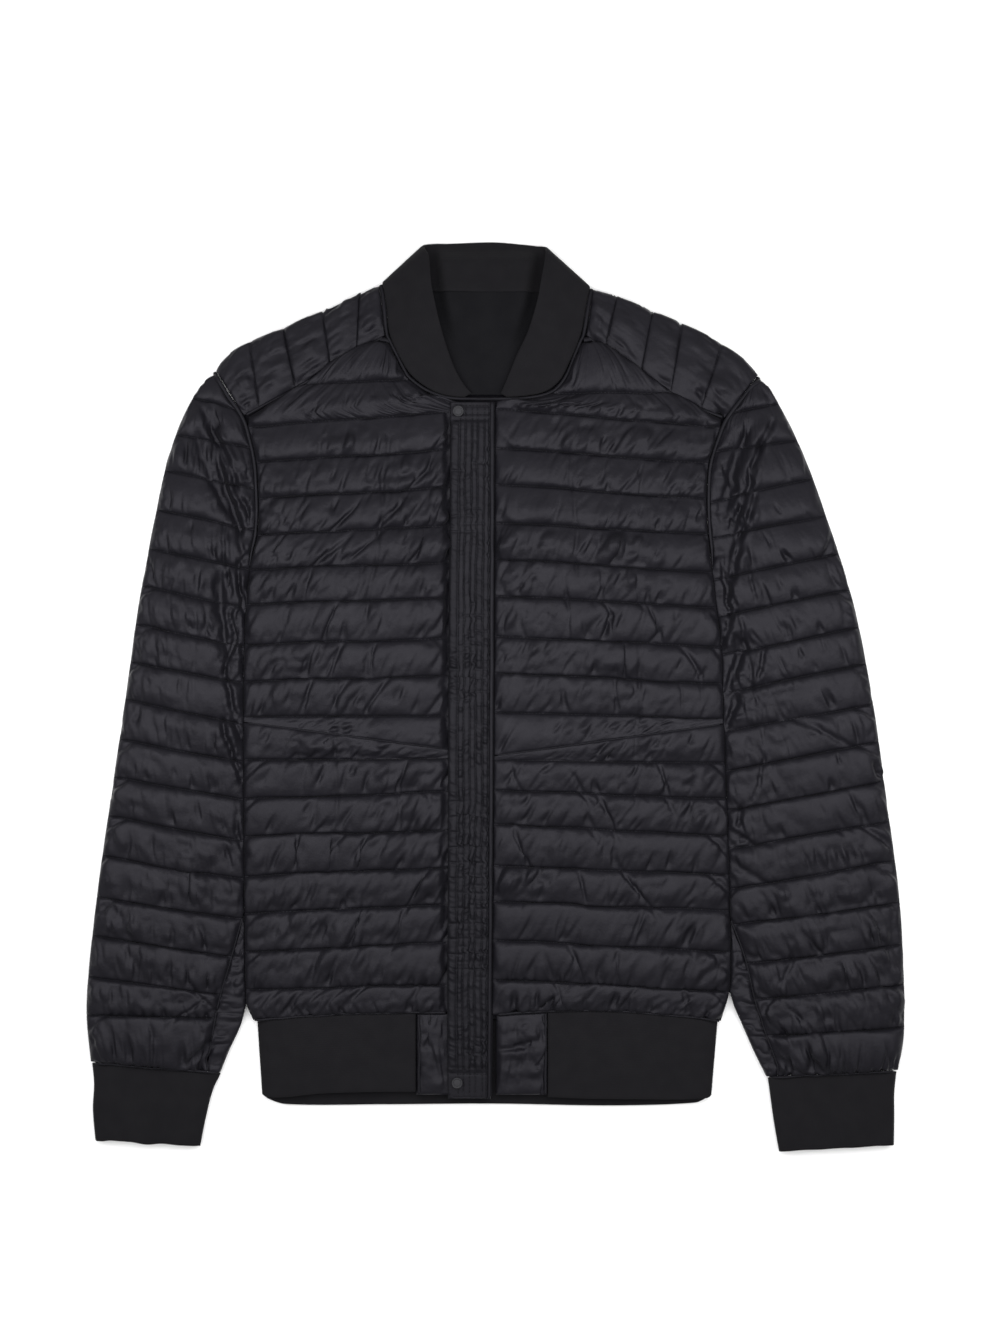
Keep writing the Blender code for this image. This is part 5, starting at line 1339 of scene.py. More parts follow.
def make_fronts(side):
    """Both quilted panels of one front."""
    sign, body_edge, neck_rows, lines, waist, hem_bow = SIDES[side]
    seed = FRONT_SEEDS[side]
    side_edge = Edge(FRONT_SIDE_SEWN, -999.0, None)
    lean = -sign * FRONT_LEAN
    calm = 0.0 if sign < 0 else FRONT_CALM

    upper = list(lines[:UPPER_LINES]) + [QuiltLine(waist.side_y + SEAM_GAP, waist.front_y + SEAM_GAP)]
    front_edge = SEWN._replace(lap_from=1.75) if sign < 0 else SEWN
    last = len(upper) + 1

    def chest(group, first):
        numbers = np.arange(len(group)) + first
        side_y = [line.side_y for line in group]
        return lambda places: FULLNESS + CHEST_RISE * np.exp(
            -(((np.interp(places, numbers, side_y) - CHEST_Y) / CHEST_REACH) ** 2))

    def crest(is_crossed):
        """The height of the channel that the waist seam crosses, and where it is."""
        def crest_at(places, t, y):
            crossed = is_crossed(places)[:, None] & np.ones_like(t, bool)
            top_y, low_y = (between(line.side_y, line.front_y, t)
                            for line in lines[UPPER_LINES - 1:UPPER_LINES + 1])
            u = np.clip((top_y - y) / (top_y - low_y), 0.0, 1.0)
            return np.where(crossed, 0.75 * PUFF * np.sin(np.pi * u) ** PUFF_SHAPE, 0.0), crossed
        return crest_at

    form = upper_form(front_upper_ends(neck_rows, upper, body_edge, sign), (side_edge, front_edge),
                      chest(upper, 2), crest=crest(lambda places: places > last - 1))
    grid, per = quilted(form, last, FRONT_COLUMNS, FRONT_SLACK._replace(seed=seed), FRONT_UPPER_SIZE,
                        skew=skew_of([line.side_y for line in upper], 2))
    grid, per = worn(puckered(grid, seed + PUCKER_SEED), per, seed, lean, FRONT_CREASES[side], calm=calm)
    made = shell("shell_front_%s_upper" % side, grid, UPPER_LOW, SHELL)
    on_frame(made, "shell", "front_%s_upper" % side)
    paths = line_paths(grid, per, range(1, len(upper) + 1))
    seam_row = grid[-1].copy()

    lower = [QuiltLine(waist.side_y - SEAM_GAP, waist.front_y - SEAM_GAP)] + list(lines[UPPER_LINES:])
    front_edge = SEWN._replace(lap_from=-1.0) if sign < 0 else SEWN
    form = upper_form(lambda p: line_ends(lower, body_edge, sign, hem_bow, p), (side_edge, front_edge),
                      chest(lower, 0), crest=crest(lambda places: places < 1.0))
    grid, per = quilted(form, len(lower) - 1, FRONT_COLUMNS, FRONT_SLACK._replace(seed=seed + 1),
                        FRONT_LOWER_SIZE, skew=skew_of([line.side_y for line in lower]))
    grid, per = worn(grid, per, seed + 1, lean, FRONT_CREASES[side], knit_gathers(lower), calm)
    made = shell("shell_front_%s_lower" % side, grid, UPPER_LOW, SHELL)
    on_frame(made, "shell", "front_%s_lower" % side)
    paths += line_paths(grid, per, range(1, len(lower) - 1))
    on_frame(stitches("stitches_front_%s" % side, paths, THREAD), "shell")
    ridge = 0.5 * (seam_row + grid[0])[3:-3]
    on_frame(tube("seam_waist_%s" % side, ridge, 0.75, TRIM, sides=8), "shell")


def blunted(grid, side, reach=12.0, pull=2.6):
    """The same sleeve panel with its corner at the shoulder drawn in."""
    sign, outer = SLEEVES[side][:2]
    top_y = SLEEVES[side][-1][0].outer_y
    away = np.linalg.norm(grid[..., :2] - (outline(outer, top_y), top_y), axis=-1)
    share = pull * smooth_step(1.0 - away / reach)
    return grid - share[..., None] * np.array([0.55 * sign, 0.85, 0.0])


def make_sleeve(side):
    """The upper piece of a sleeve."""
    sign, outer, armhole, body_edge, crevice, seam, lines = SLEEVES[side]
    ends = sleeve_ends(outer, armhole, body_edge, crevice, seam, sign, lines)
    numbers = np.arange(len(lines))

    def fullness(places):
        outer_y = np.interp(places, numbers, [line.outer_y for line in lines])
        return SLEEVE_FULLNESS * smooth_step((275.0 - outer_y) / 60.0)

    seed = SLEEVE_SEEDS[side]
    inner_edge = Edge(ARMHOLE_FOOT, seam[0][0], None)
    form = upper_form(ends, (FREE, inner_edge), fullness, SLEEVE_FOLDS[side])
    grid, per = quilted(form, len(lines) - 1, SLEEVE_COLUMNS, SLEEVE_SLACK._replace(seed=seed), SLEEVE_SIZE,
                        skew=skew_of([line.outer_y for line in lines]))
    grid = finer(grid, grid.shape[0], SLEEVE_FINE_COLUMNS)
    grid, per = worn(grid, per, seed, sign * SLEEVE_LEAN, SLEEVE_CREASES[side], knit_gathers(lines))
    grid[1:-1, 1:-1, 2] = np.maximum(grid[1:-1, 1:-1, 2], UPPER_LOW + 0.2)
    grid = blunted(grid, side)
    made = shell("shell_sleeve_%s_upper" % side, grid, UPPER_LOW, SHELL)
    on_frame(made, "shell", "sleeve_%s_upper" % side)
    paths = line_paths(grid, per, range(1, len(lines) - 1))
    on_frame(stitches("stitches_sleeve_%s" % side, paths, THREAD), "shell")
    ridge = grid[grid[:, -1, 1] < seam[0][0] - 4.0, -1][:-2]
    ridge = through(ridge + (sign * -SEAM_GAP, 0.0, 0.3), 120)
    on_frame(tube("seam_sleeve_%s" % side, ridge, 0.8, TRIM, sides=8), "shell")


def path_form(points_at, rooms):
    """The stitched form of a panel whose rows follow a bent path, as quilted() reads it.

    points_at(place) gives the points of a row; rooms holds, for each of them, how much of
    the full puff there is."""
    def base_at(places, fractions):
        rows = []
        room = []
        for place in places:
            points = np.asarray(points_at(place), float)
            steps = lengths_along(points)
            rows.append(smooth_table(steps, points, steps[-1] * fractions))
            room.append(np.interp(steps[-1] * fractions, steps, rooms))
        base = np.stack(rows)
        return base, np.stack(room), np.zeros(base.shape[:2], bool)
    return base_at


def interpolated(rows, place):
    """A row of a table of numbers at a place between its rows."""
    rows = np.asarray(rows, float)
    k = int(min(max(math.floor(place), 0), len(rows) - 2))
    return between(rows[k], rows[k + 1], place - k)


def make_under_sleeve(side):
    """The under piece of a sleeve, with the strip of it that shows above the cuff."""
    sign, outer, armhole, body_edge, crevice, seam, lines = SLEEVES[side]
    heights = np.array([line.inner_y for line in lines])
    inner_x = sleeve_inner_x(armhole, body_edge, crevice, sign, heights, cord_room=0.0)
    table = [(*line, edge) for line, edge in zip(lines, inner_x)]

    def points_at(place):
        outer_y, inner_y, edge = interpolated(table, place)
        fold = float(outline(outer, outer_y))
        length = abs(edge - fold)
        reach = min(8.0, 0.3 * length)

        def at(distance, z):
            t = distance / length
            return (between(fold, edge, t), between(outer_y, inner_y, t), z)

        return (at(0.0, LOWER_TOP - 0.4), at(0.25 * reach, 2.6), at(reach, GROOVE),
                at(0.3 * length, GROOVE), at(0.6 * length, GROOVE), at(length - reach, GROOVE),
                at(length - 0.2 * reach, 2.6),
                (edge, inner_y, 5.4), (edge + sign * 0.2, inner_y, LOWER_TOP - 0.2))

    rooms = (0.05, 0.15, UNDER_ROOM, UNDER_ROOM, UNDER_ROOM, UNDER_ROOM, 0.2, 0.2, 0.05)
    slack = HIDDEN_SLACK._replace(seed=UNDER_SEEDS[side])
    grid, _ = quilted(path_form(points_at, rooms), len(lines) - 1, UNDER_COLUMNS, slack, SLEEVE_SIZE,
                      levels=PLAIN_LEVELS)
    made = shell("shell_sleeve_%s_under" % side, blunted(above_floor(grid), side), LOWER_TOP, SHELL)
    on_frame(made, "shell", "sleeve_%s_under" % side)

    rows, columns = STRIP_GRID
    y = np.linspace(seam[0][0] - 3.0, lines[-1].inner_y, rows)
    edge = sleeve_inner_x(armhole, body_edge, crevice, sign, y, cord_room=0.0)
    width = np.maximum((outline(seam, y) - edge) * sign - 2.0 * SEAM_GAP, 0.3)
    u = np.linspace(0.0, 1.0, columns)
    x = edge[:, None] + sign * width[:, None] * u
    y = np.repeat(y[:, None], columns, axis=1)
    beside = np.abs(y[..., None] - heights + 4.0 * (1.0 - u)[None, :, None]).min(axis=-1)
    quilt = 1.0 - 0.7 * np.exp(-((beside / 3.0) ** 2))
    rng = np.random.default_rng(slack.seed + 6)
    size = (y[0, 0] - y[-1, 0], 20.0)
    lumps = np.abs(Unevenness(rng, *size, 5.0, 13.0).at(rows, columns, 1.5))
    lumps += 0.6 * np.abs(Unevenness(rng, *size, 11.0, 8.0).at(rows, columns))
    full = np.minimum(width / STRIP_FULL_WIDTH, 1.0)[:, None]
    arch = round_step(u / 0.45) * (1.0 - 0.25 * smooth_step((u - 0.8) / 0.2))
    height = full * arch * (STRIP_HEIGHT * (0.62 + 0.38 * quilt) + 1.5 * (lumps - 0.9))
    grid = np.dstack([x, y, LOWER_TOP + 0.15 + np.clip(height, 0.0, STRIP_TOP)])
    strip = shell("shell_sleeve_%s_strip" % side, grid, LOWER_TOP + 0.05, SHELL)
    on_frame(strip, "shell")


def above_floor(grid):
    """The same points, none of them in the floor."""
    grid = grid.copy()
    grid[..., 2] = np.maximum(grid[..., 2], 0.02)
    return grid


def make_back():
    """The back, flat where it rests, with shallow quilting."""
    ends = [(right_x, y, left_x, y) for y, right_x, left_x in BACK_NECK_ROWS]
    for right, left in zip(YOKE_LINES_RIGHT, YOKE_LINES_LEFT):
        ends.append((right.back_x, right.back_y - SEAM_GAP, left.back_x, left.back_y - SEAM_GAP))
    for y in BACK_SIDE_HEIGHTS:
        ends.append((float(outline(BODY_EDGE_RIGHT, y)), y, float(outline(BODY_EDGE_LEFT, y)), y))
    ends = np.asarray(ends)
    middle_y = 0.5 * (ends[:, 1] + ends[:, 3])
    lines_y = np.linspace(middle_y[0], middle_y[-1], BACK_CHANNELS + 1)
    lines = np.stack([np.interp(-lines_y, -middle_y, ends[:, i]) for i in range(4)], axis=1)

    def points_at(place):
        right_x, right_y, left_x, left_y = interpolated(lines, place)
        start = np.array([right_x, right_y])
        end = np.array([left_x, left_y])
        places = (0.0, 0.006, 0.024, 0.18, 0.34, 0.5, 0.66, 0.82, 0.976, 0.994, 1.0)
        high = LOWER_TOP - 0.4
        heights = (high, 3.0) + (GROOVE,) * 7 + (3.0, high)
        return [(*between(start, end, t), z) for t, z in zip(places, heights)]

    rooms = (0.05, 0.12) + (UNDER_ROOM,) * 7 + (0.12, 0.05)
    grid, _ = quilted(path_form(points_at, rooms), BACK_CHANNELS, BACK_COLUMNS, HIDDEN_SLACK, BACK_SIZE,
                      levels=PLAIN_LEVELS)
    made = shell("shell_back", above_floor(grid), LOWER_TOP, SHELL)
    on_frame(made, "shell", "back")


def make_yoke(side, lines):
    """A shoulder yoke: up from the front seam, over the fold and under to the back seam."""
    def points_at(place):
        line = YokeLine(*interpolated(lines, place))
        channel = min(int(place), len(lines) - 2)
        bulge = lines[channel].bulge * math.sin(math.pi * (place - channel))
        seam = np.array([line.seam_x, line.seam_y])
        fold = np.array([line.fold_x + 0.5 * math.copysign(bulge, line.seam_x),
                         line.fold_y + 0.85 * bulge])
        back = np.array([line.back_x, line.back_y])
        top = UPPER_LOW + STITCH_WALL
        points = [(*between(seam, fold, t), z)
                  for t, z in ((0.0, top), (0.2, top + 1.0), (0.45, top + 1.1), (0.7, top - 0.2),
                               (0.88, top - 2.0), (0.97, UPPER_LOW + 0.1), (1.0, 5.6))]
        points += [(*between(fold, back, t), z)
                   for t, z in ((0.06, 2.6), (0.28, GROOVE), (0.64, GROOVE), (1.0, GROOVE))]
        return points

    rooms = (0.2, 0.85, 1.0, 0.9, 0.6, 0.3, 0.15, 0.15, UNDER_ROOM, UNDER_ROOM, UNDER_ROOM)
    seed = YOKE_SEEDS[side]
    grid, per = quilted(path_form(points_at, rooms), len(lines) - 1, YOKE_COLUMNS,
                        YOKE_SLACK._replace(seed=seed), YOKE_SIZE, height=YOKE_PUFF)
    smooth = mellowed(grid, per)
    rough = crumpled(creased(smooth, per, seed, 8.0, every=5.5, deep=3.2), per, seed, 4.0, much=1.3)
    # plain where the shoulder folds over
    share = smooth_step((grid[..., 2:] - 7.0) / 4.0)
    grid, per = grooved(above_floor(smooth + (rough - smooth) * share), per, depth=0.3)
    grid = above_floor(grid)
    inner = grid + YOKE_WALL * normals_of(grid, -facing_of(grid))
    inner[..., 2] = np.clip(inner[..., 2], 1.0, None)
    made = wall("shell_yoke_%s" % side, grid, inner, SHELL)
    on_frame(made, "shell", "yoke_%s" % side)
    reach = int(0.5 * grid.shape[1])
    paths = [grid[line * per, 1:reach] for line in range(1, len(lines) - 1)]
    on_frame(stitches("stitches_yoke_%s" % side, paths, THREAD), "shell")
    seam = [(line.seam_x, line.seam_y - 0.4, UPPER_LOW + STITCH_WALL - 0.2) for line in lines]
    on_frame(tube("seam_yoke_%s" % side, through(seam, 120)[2:-2], 1.2, TRIM, sides=10), "shell")
    on_frame(tube("seam_neck_%s" % side, through(NECK_CORNERS[side], 12), 2.6, TRIM, sides=12), "shell")


# ---------------------------------------------------------------- knit pieces
def rounded_strip(rows, thick, count, edge=2.0):
    """Both faces of a knit strip with rounded edges. rows: for each station, the two edge
    points and the unit vector its outer face looks along."""
    share = 0.5 - 0.5 * np.cos(np.linspace(0.0, np.pi, count))
    outer = []
    inner = []
    for start, end, out in rows:
        width = np.linalg.norm(end - start)
        distance = np.minimum(share, 1.0 - share) * width
        half = 0.5 * thick * round_step(distance / edge + 0.06)
        middle = between(start, end, share[:, None])
        outer.append(middle + half[:, None] * out)
        inner.append(middle - half[:, None] * out)
    return np.stack(outer), np.stack(inner)


def dense(table, count):
    """A table of stations read at count places, evenly spaced along it."""
    table = np.asarray(table, float)
    places = lengths_along(table[:, :4])
    return smooth_table(places, table, np.linspace(0.0, places[-1], count))


def neck_bulge(x, y):
    """How much the inner neck stands up between the collar's two wings."""
    table = np.asarray(COLLAR_STATIONS)
    top = int(np.argmax(table[:, 3] > 392.0))
    right = table[:top + 1]
    left = table[::-1][:int(np.argmax(table[::-1][:, 3] > 391.0)) + 1]
    from_right = x - np.interp(y, right[:, 3], right[:, 2])
    from_left = np.interp(y, left[:, 3], left[:, 2]) - x
    beside = smooth_step((from_right - 4.0) / 9.0) * smooth_step((from_left - 4.0) / 9.0)
    return BULGE * beside * smooth_step((394.0 - y) / 16.0) * smooth_step((y - 285.0) / 60.0)


def make_collar():
    """The knit collar: one strip, folded at both sides of the neck."""
    rows = []
    rng = np.random.default_rng(COLLAR_SEED)
    waves = Unevenness(rng, 600.0, 40.0, 28.0, 20.0).at(COLLAR_COUNT, COLLAR_ACROSS)
    stations = dense(COLLAR_STATIONS, COLLAR_COUNT)
    for station in stations:
        station = CollarStation(*station)
        side = -1.0 if station.seam_x < -8.0 else 1.0
        lean = min(max(station.lean, -1.0), 1.0)
        outwards = math.sqrt(1.0 - lean**2)
        out = np.array([side * 0.75 * outwards, 0.5 * outwards, lean])
        out /= np.linalg.norm(out)
        lift = 0.5 * COLLAR_WALL * abs(lean) if lean < 0.9 else 0.0
        raised = WING_RISE * smooth_step((station.edge_y - 290.0) / 55.0) * smooth_step(2.0 * lean)
        raised *= 1.0 - 0.5 * smooth_step((station.edge_y - 358.0) / 30.0)
        stood = lift + BACK_RISE * max(-lean, 0.0)
        rows.append((np.array([station.seam_x, station.seam_y, station.seam_z + stood]),
                     np.array([station.edge_x, station.edge_y, station.edge_z + lift + raised]), out))
    faces = rounded_strip(rows, COLLAR_WALL, COLLAR_ACROSS)
    at_back = smooth_step((-0.4 - stations[:, 6]) / 0.5)[:, None]
    for face in faces:
        face[..., 2] += KNIT_WAVE * waves + at_back * neck_bulge(face[..., 0], face[..., 1])
    outer, inner = (above_floor(face) for face in faces)
    made = on_frame(wall("knit_collar", outer, inner, KNIT), "knit", "collar")


def make_hem_band():
    """The knit hem band: one strip, folded at both sides."""
    rng = np.random.default_rng(HEM_SEED)
    waves = Unevenness(rng, 800.0, 66.0, 26.0, 60.0).at(HEM_COUNT, HEM_ACROSS)
    sides = {"right": 1.0, "back": 0.0, "left": -1.0}
    table = np.asarray([(s.x, s.low_y, s.z_out, s.z_in, s.inset, sides[s.side]) for s in HEM_STATIONS])
    steps = lengths_along(table[:, (0, 2)])
    share = 0.5 - 0.5 * np.cos(np.linspace(0.0, np.pi, HEM_ACROSS))
    outer = []
    inner = []
    for at in np.linspace(0.0, steps[-1], HEM_COUNT):
        x, low_y, z_out, z_in, inset, side = smooth_table(steps, table, np.array([at]))[0]
        sign = -1 if x < 0 else 1
        front_y = float(hem_seam_y(sign, x))
        top_y = front_y * abs(side) + BACK_HEM_Y * (1.0 - abs(side)) - 2.0 * SEAM_GAP
        y = top_y + (low_y - top_y) * share
        lean = share * (HEM_LEAN_RIGHT if x < 0 else HEM_LEAN_LEFT) * min(inset / 4.2, 1.0)
        distance = np.minimum(share, 1.0 - share) * (top_y - low_y)
        rise = round_step(distance / 2.4 + 0.25)
        middle = 0.5 * (z_out + z_in)
        outer.append(np.stack([x + lean, y, middle + (z_out - middle) * rise], axis=1))
        inner.append(np.stack([x + lean - sign * inset, y, middle + (z_in - middle) * rise], axis=1))
    outer = np.stack(outer)
    inner = np.stack(inner)
    outer[..., 2] += 0.25 * waves * (outer[..., 2] > 8.0)
    made = on_frame(wall("knit_hem_band", above_floor(outer), above_floor(inner), KNIT), "knit", "hem_band")


def make_cuff(side, rows):
    """A knit cuff: a flattened tube, open at the hand."""
    closed = np.asarray(CUFF_SECTION + CUFF_SECTION[:1])
    ring = evenly(closed, CUFF_AROUND + 1)[:-1]
    rng = np.random.default_rng(CUFF_SEEDS[side])
    dips = Unevenness(rng, 66.0, 112.0, 60.0, 13.0).at(CUFF_COUNT, CUFF_AROUND // 2)
    dips = np.hstack([dips, np.zeros((CUFF_COUNT, CUFF_AROUND - CUFF_AROUND // 2))])
    outer = []
    inner = []
    for k, station in enumerate(dense(rows, CUFF_COUNT)):
        start, end = station[:2], station[2:]
        last = k / (CUFF_COUNT - 1.0)
        end_roll = round_step((1.0 - last) / 0.035 + 0.35)
        out = between(start, end, ring[:, :1])
        inn = between(start, end, ring[:, 2:3])
        middle = 0.5 * (ring[:, 1] + ring[:, 3])
        top = middle + (ring[:, 1] - middle) * end_roll
        dip = 0.9 * (0.3 + 0.7 * last) * dips[k] * smooth_step((ring[:, 1] - 7.0) / 3.5)
        wave = 0.9 * last**4 * dips[-1]
        out[:, 1] += wave
        inn[:, 1] += wave
        outer.append(np.column_stack([out, np.maximum(top + dip, 0.0)]))
        inner.append(np.column_stack([inn, ring[:, 3]]))
    made = ring_wall("knit_cuff_%s" % side, above_floor(np.stack(outer)), np.stack(inner), KNIT)
    on_frame(made, "knit", "cuff_%s" % side)


def make_lining():
    """The inner back where it shows, inside the collar."""
    rows, columns = LINING_GRID
    table = evenly(LINING_ROWS, rows)
    rng = np.random.default_rng(LINING_SEED)
    waves = Unevenness(rng, 90.0, 140.0, 24.0, 24.0).at(rows, columns)
    x = between(table[:, 1:2], table[:, 2:3], np.linspace(0.0, 1.0, columns))
    y = np.repeat(table[:, :1], columns, axis=1)
    base = LOWER_TOP + SEAM_GAP
    over = np.dstack([x, y, base + LINING_WALL + 0.25 + 0.2 * waves + neck_bulge(x, y)])
    under = np.dstack([x, y, np.full_like(x, base)])
    made = on_frame(wall("lining_back_panel", over, under, LINING), "lining", "lining_back")


# ---------------------------------------------------------------- placket, tabs, snaps
def bumpy(grid, per, seed):
    """The same placket with the small bumps of its narrow stitched channels, deeper
    towards its foot."""
    rng = np.random.default_rng(seed)
    grid = grid.copy()
    columns = grid.shape[1]
    y = grid[0, :, 1]
    strength = (0.45 + 0.55 * smooth_step((140.0 - y) / 160.0)) * smooth_step((y[0] - y - 14.0) / 8.0)
    strength *= smooth_step((y - y[-1] - 20.0) / 8.0)
    v = np.linspace(0.0, 1.0, per + 1)[:, None]
    for channel in range((len(grid) - 1) // per):
        block = channel_rows(channel, per)
        length = y[0] - y[-1]
        lean = rng.uniform(-1.3, 1.3)
        fine, broad = (np.abs(Unevenness(rng, 10.0, length, 10.0, cell).at(per + 1, columns, lean))
                       for cell in (PLACKET_BUMP, 2.4 * PLACKET_BUMP))
        bumps = fine + 0.5 * broad
        more = 1.0 + 0.35 * Unevenness(rng, 10.0, length, 10.0, 30.0).at(1, columns)
        bumps = np.clip(bumps - 1.0, -0.45, 1.2)
        grid[block, :, 2] += 1.0 * bumps * strength * more * np.sin(np.pi * v) ** 0.6
    return grid


def make_placket():
    """The snap placket, stitched in long rows, and the binding along its seam."""
    table = np.asarray(PLACKET_ROWS)
    top_y, low_y = table[0, 0], table[-1, 0]

    def base_at(places, fractions):
        y = top_y + (low_y - top_y) * fractions
        free = outline(table[:, (0, 1)], y)
        bound = outline(table[:, (0, 2)], y)
        lean = free - table[0, 1]
        stitched = [x + lean for x in PLACKET_STITCH_X]
        lines = np.stack([free + 0.2] + stitched + [bound - 1.2, bound])
        k = np.clip(np.floor(places).astype(int), 0, len(lines) - 2)
        t = (places - k)[:, None]
        x = between(lines[k], lines[k + 1], t)
        pitch = lines[k + 1] - lines[k]
        end_room = smooth_step((top_y - y - 16.0) / 3.0) * smooth_step((y - low_y - 24.0) / 3.0)
        room = np.minimum(pitch / 33.0, 0.3) * end_room
        edge = round_step((x - free) / 3.0 + 0.1)
        z = PLACKET_LOW + 0.6 + (PLACKET_WALL - 1.4) * edge
        base = np.dstack([x, np.broadcast_to(y, x.shape), z])
        return base, room, np.zeros(x.shape, bool)

    channels = len(PLACKET_STITCH_X) + 2
    grid, per = quilted(base_at, channels, PLACKET_COLUMNS, PLACKET_SLACK, PLACKET_SIZE,
                        height=PLACKET_PUFF, levels=PLACKET_LEVELS)
    grid = bumpy(finer(grid, grid.shape[0], PLACKET_FINE_COLUMNS), per, BUMP_SEED)
    for line in range(1, channels):
        for beside, depth in ((-1, 0.15), (0, PLACKET_GROOVE), (1, 0.15)):
            grid[line * per + beside, :, 2] -= depth
    for y in PLACKET_CROSS_Y:
        grid[2:-2, :, 2] -= 0.8 * np.exp(-(((grid[2:-2, :, 1] - y) / 1.1) ** 2))
    made = shell("shell_placket", grid, PLACKET_LOW, TRIM)
    on_frame(made, "shell", "placket")
    paths = [grid[line * per, 4:-4] for line in range(1, channels)]
    for y in PLACKET_CROSS_Y:
        across = np.abs(grid[0, :, 1] - y).argmin()
        paths.append(grid[per:-per, across])
    on_frame(stitches("stitches_placket", paths, THREAD), "shell")

    x = np.linspace(table[-1, 1] + 1.6, table[-1, 2] - 0.6, 40)
    rise = round_step(np.minimum(x - x[0], x[-1] - x) / 3.0)
    y = low_y + 1.4 + 3.0 * (1.0 - round_step((x - x[0]) / 5.0))
    path = np.column_stack([x, y, PLACKET_TOP - 1.6 + rise])
    on_frame(tube("edge_placket", path, 0.9, TRIM, sides=10), "shell")

    y = np.linspace(top_y, low_y, BINDING_COUNT)
    bound = outline(table[:, (0, 2)], y) + SEAM_GAP
    seam = outline(table[:, (0, 3)], y)
    rng = np.random.default_rng(BINDING_SEED)
    waves = Unevenness(rng, 600.0, 10.0, 7.0, 10.0).at(BINDING_COUNT, 1)
    angle = np.linspace(0.0, np.pi, 13)
    half = CORD_SHARE * (seam - bound)
    middle = bound + half
    wander = 0.35 * Unevenness(rng, 600.0, 10.0, 16.0, 10.0).at(BINDING_COUNT, 1)
    x = middle[:, None] - half[:, None] * np.cos(angle) + wander * np.sin(angle)
    z = PLACKET_LOW + 1.2 + (1.9 + 0.15 * waves) * np.sin(angle)
    # beside the cord the binding lies under the left front's edge
    x = np.column_stack([x, x[:, -1] + 0.2, seam])
    z = np.column_stack([z, np.full((BINDING_COUNT, 2), UPPER_LOW + 2.4)])
    over = np.dstack([x, np.broadcast_to(y[:, None], x.shape), z])
    under = over.copy()
    under[..., 2] = np.minimum(z - 0.4, PLACKET_LOW)
    made = on_frame(wall("placket_cord", over, under, TRIM), "shell", "placket_binding")


def make_tab(name, sign, start, end, lap, seed):
    """A quilted tab between the knit band and the placket."""
    def base_at(places, fractions):
        x = start + (end - start) * fractions
        top = hem_seam_y(sign, x) - 2.0 * SEAM_GAP
        y = top + (TAB_LOW_Y - top) * places[:, None]
        beside = np.minimum(x - start, end - x - lap)
        room = np.broadcast_to(0.55 * smooth_step(beside / 7.0), y.shape)
        height = UPPER_LOW + STITCH_WALL * round_step((x - start) / 4.0 + 0.2)
        base = np.dstack([np.broadcast_to(x, y.shape), y, np.broadcast_to(height, y.shape)])
        return base, room, np.broadcast_to(end - x < lap - 1.0, y.shape)

    grid, per = quilted(base_at, 1, TAB_COLUMNS, TAB_SLACK._replace(seed=seed), TAB_SIZE,
                        levels=TAB_LEVELS)
    grid = crumpled(grid, per, seed, 6.0 * sign, amounts=TAB_CRUMPLES)
    grid = creased(grid, per, seed + 1, 14.0 * sign, every=5.0, deep=2.0)
    made = shell("shell_%s" % name, grid, UPPER_LOW, SHELL)
    on_frame(made, "shell", name)


def make_snap(name, x, y):
    """A snap cap: a low domed disc with a rolled rim."""
    profile = evenly(SNAP_PROFILE, SNAP_RINGS)
    turns = SNAP_TURNS
    low = PLACKET_TOP + SEAM_GAP
    points = [(x, y, low + profile[0, 1])]
    for radius, height in profile[1:]:
        for a in circle(turns):
            points.append((x + radius * SNAP_RADIUS * math.cos(a), y + radius * SNAP_RADIUS * math.sin(a),
                           low + height))
    faces = [(0, 1 + k, 1 + (k + 1) % turns) for k in range(turns)]
    for row in range(len(profile) - 2):
        for k in range(turns):
            a, b = 1 + row * turns + k, 1 + row * turns + (k + 1) % turns
            faces.append((a, a + turns, b + turns, b))
    faces.append(tuple(range(len(points) - turns, len(points)))[::-1])
    made = finished("metal_%s" % name, points, turned_out(points, faces), SNAP)
    on_frame(made, "snap", name)


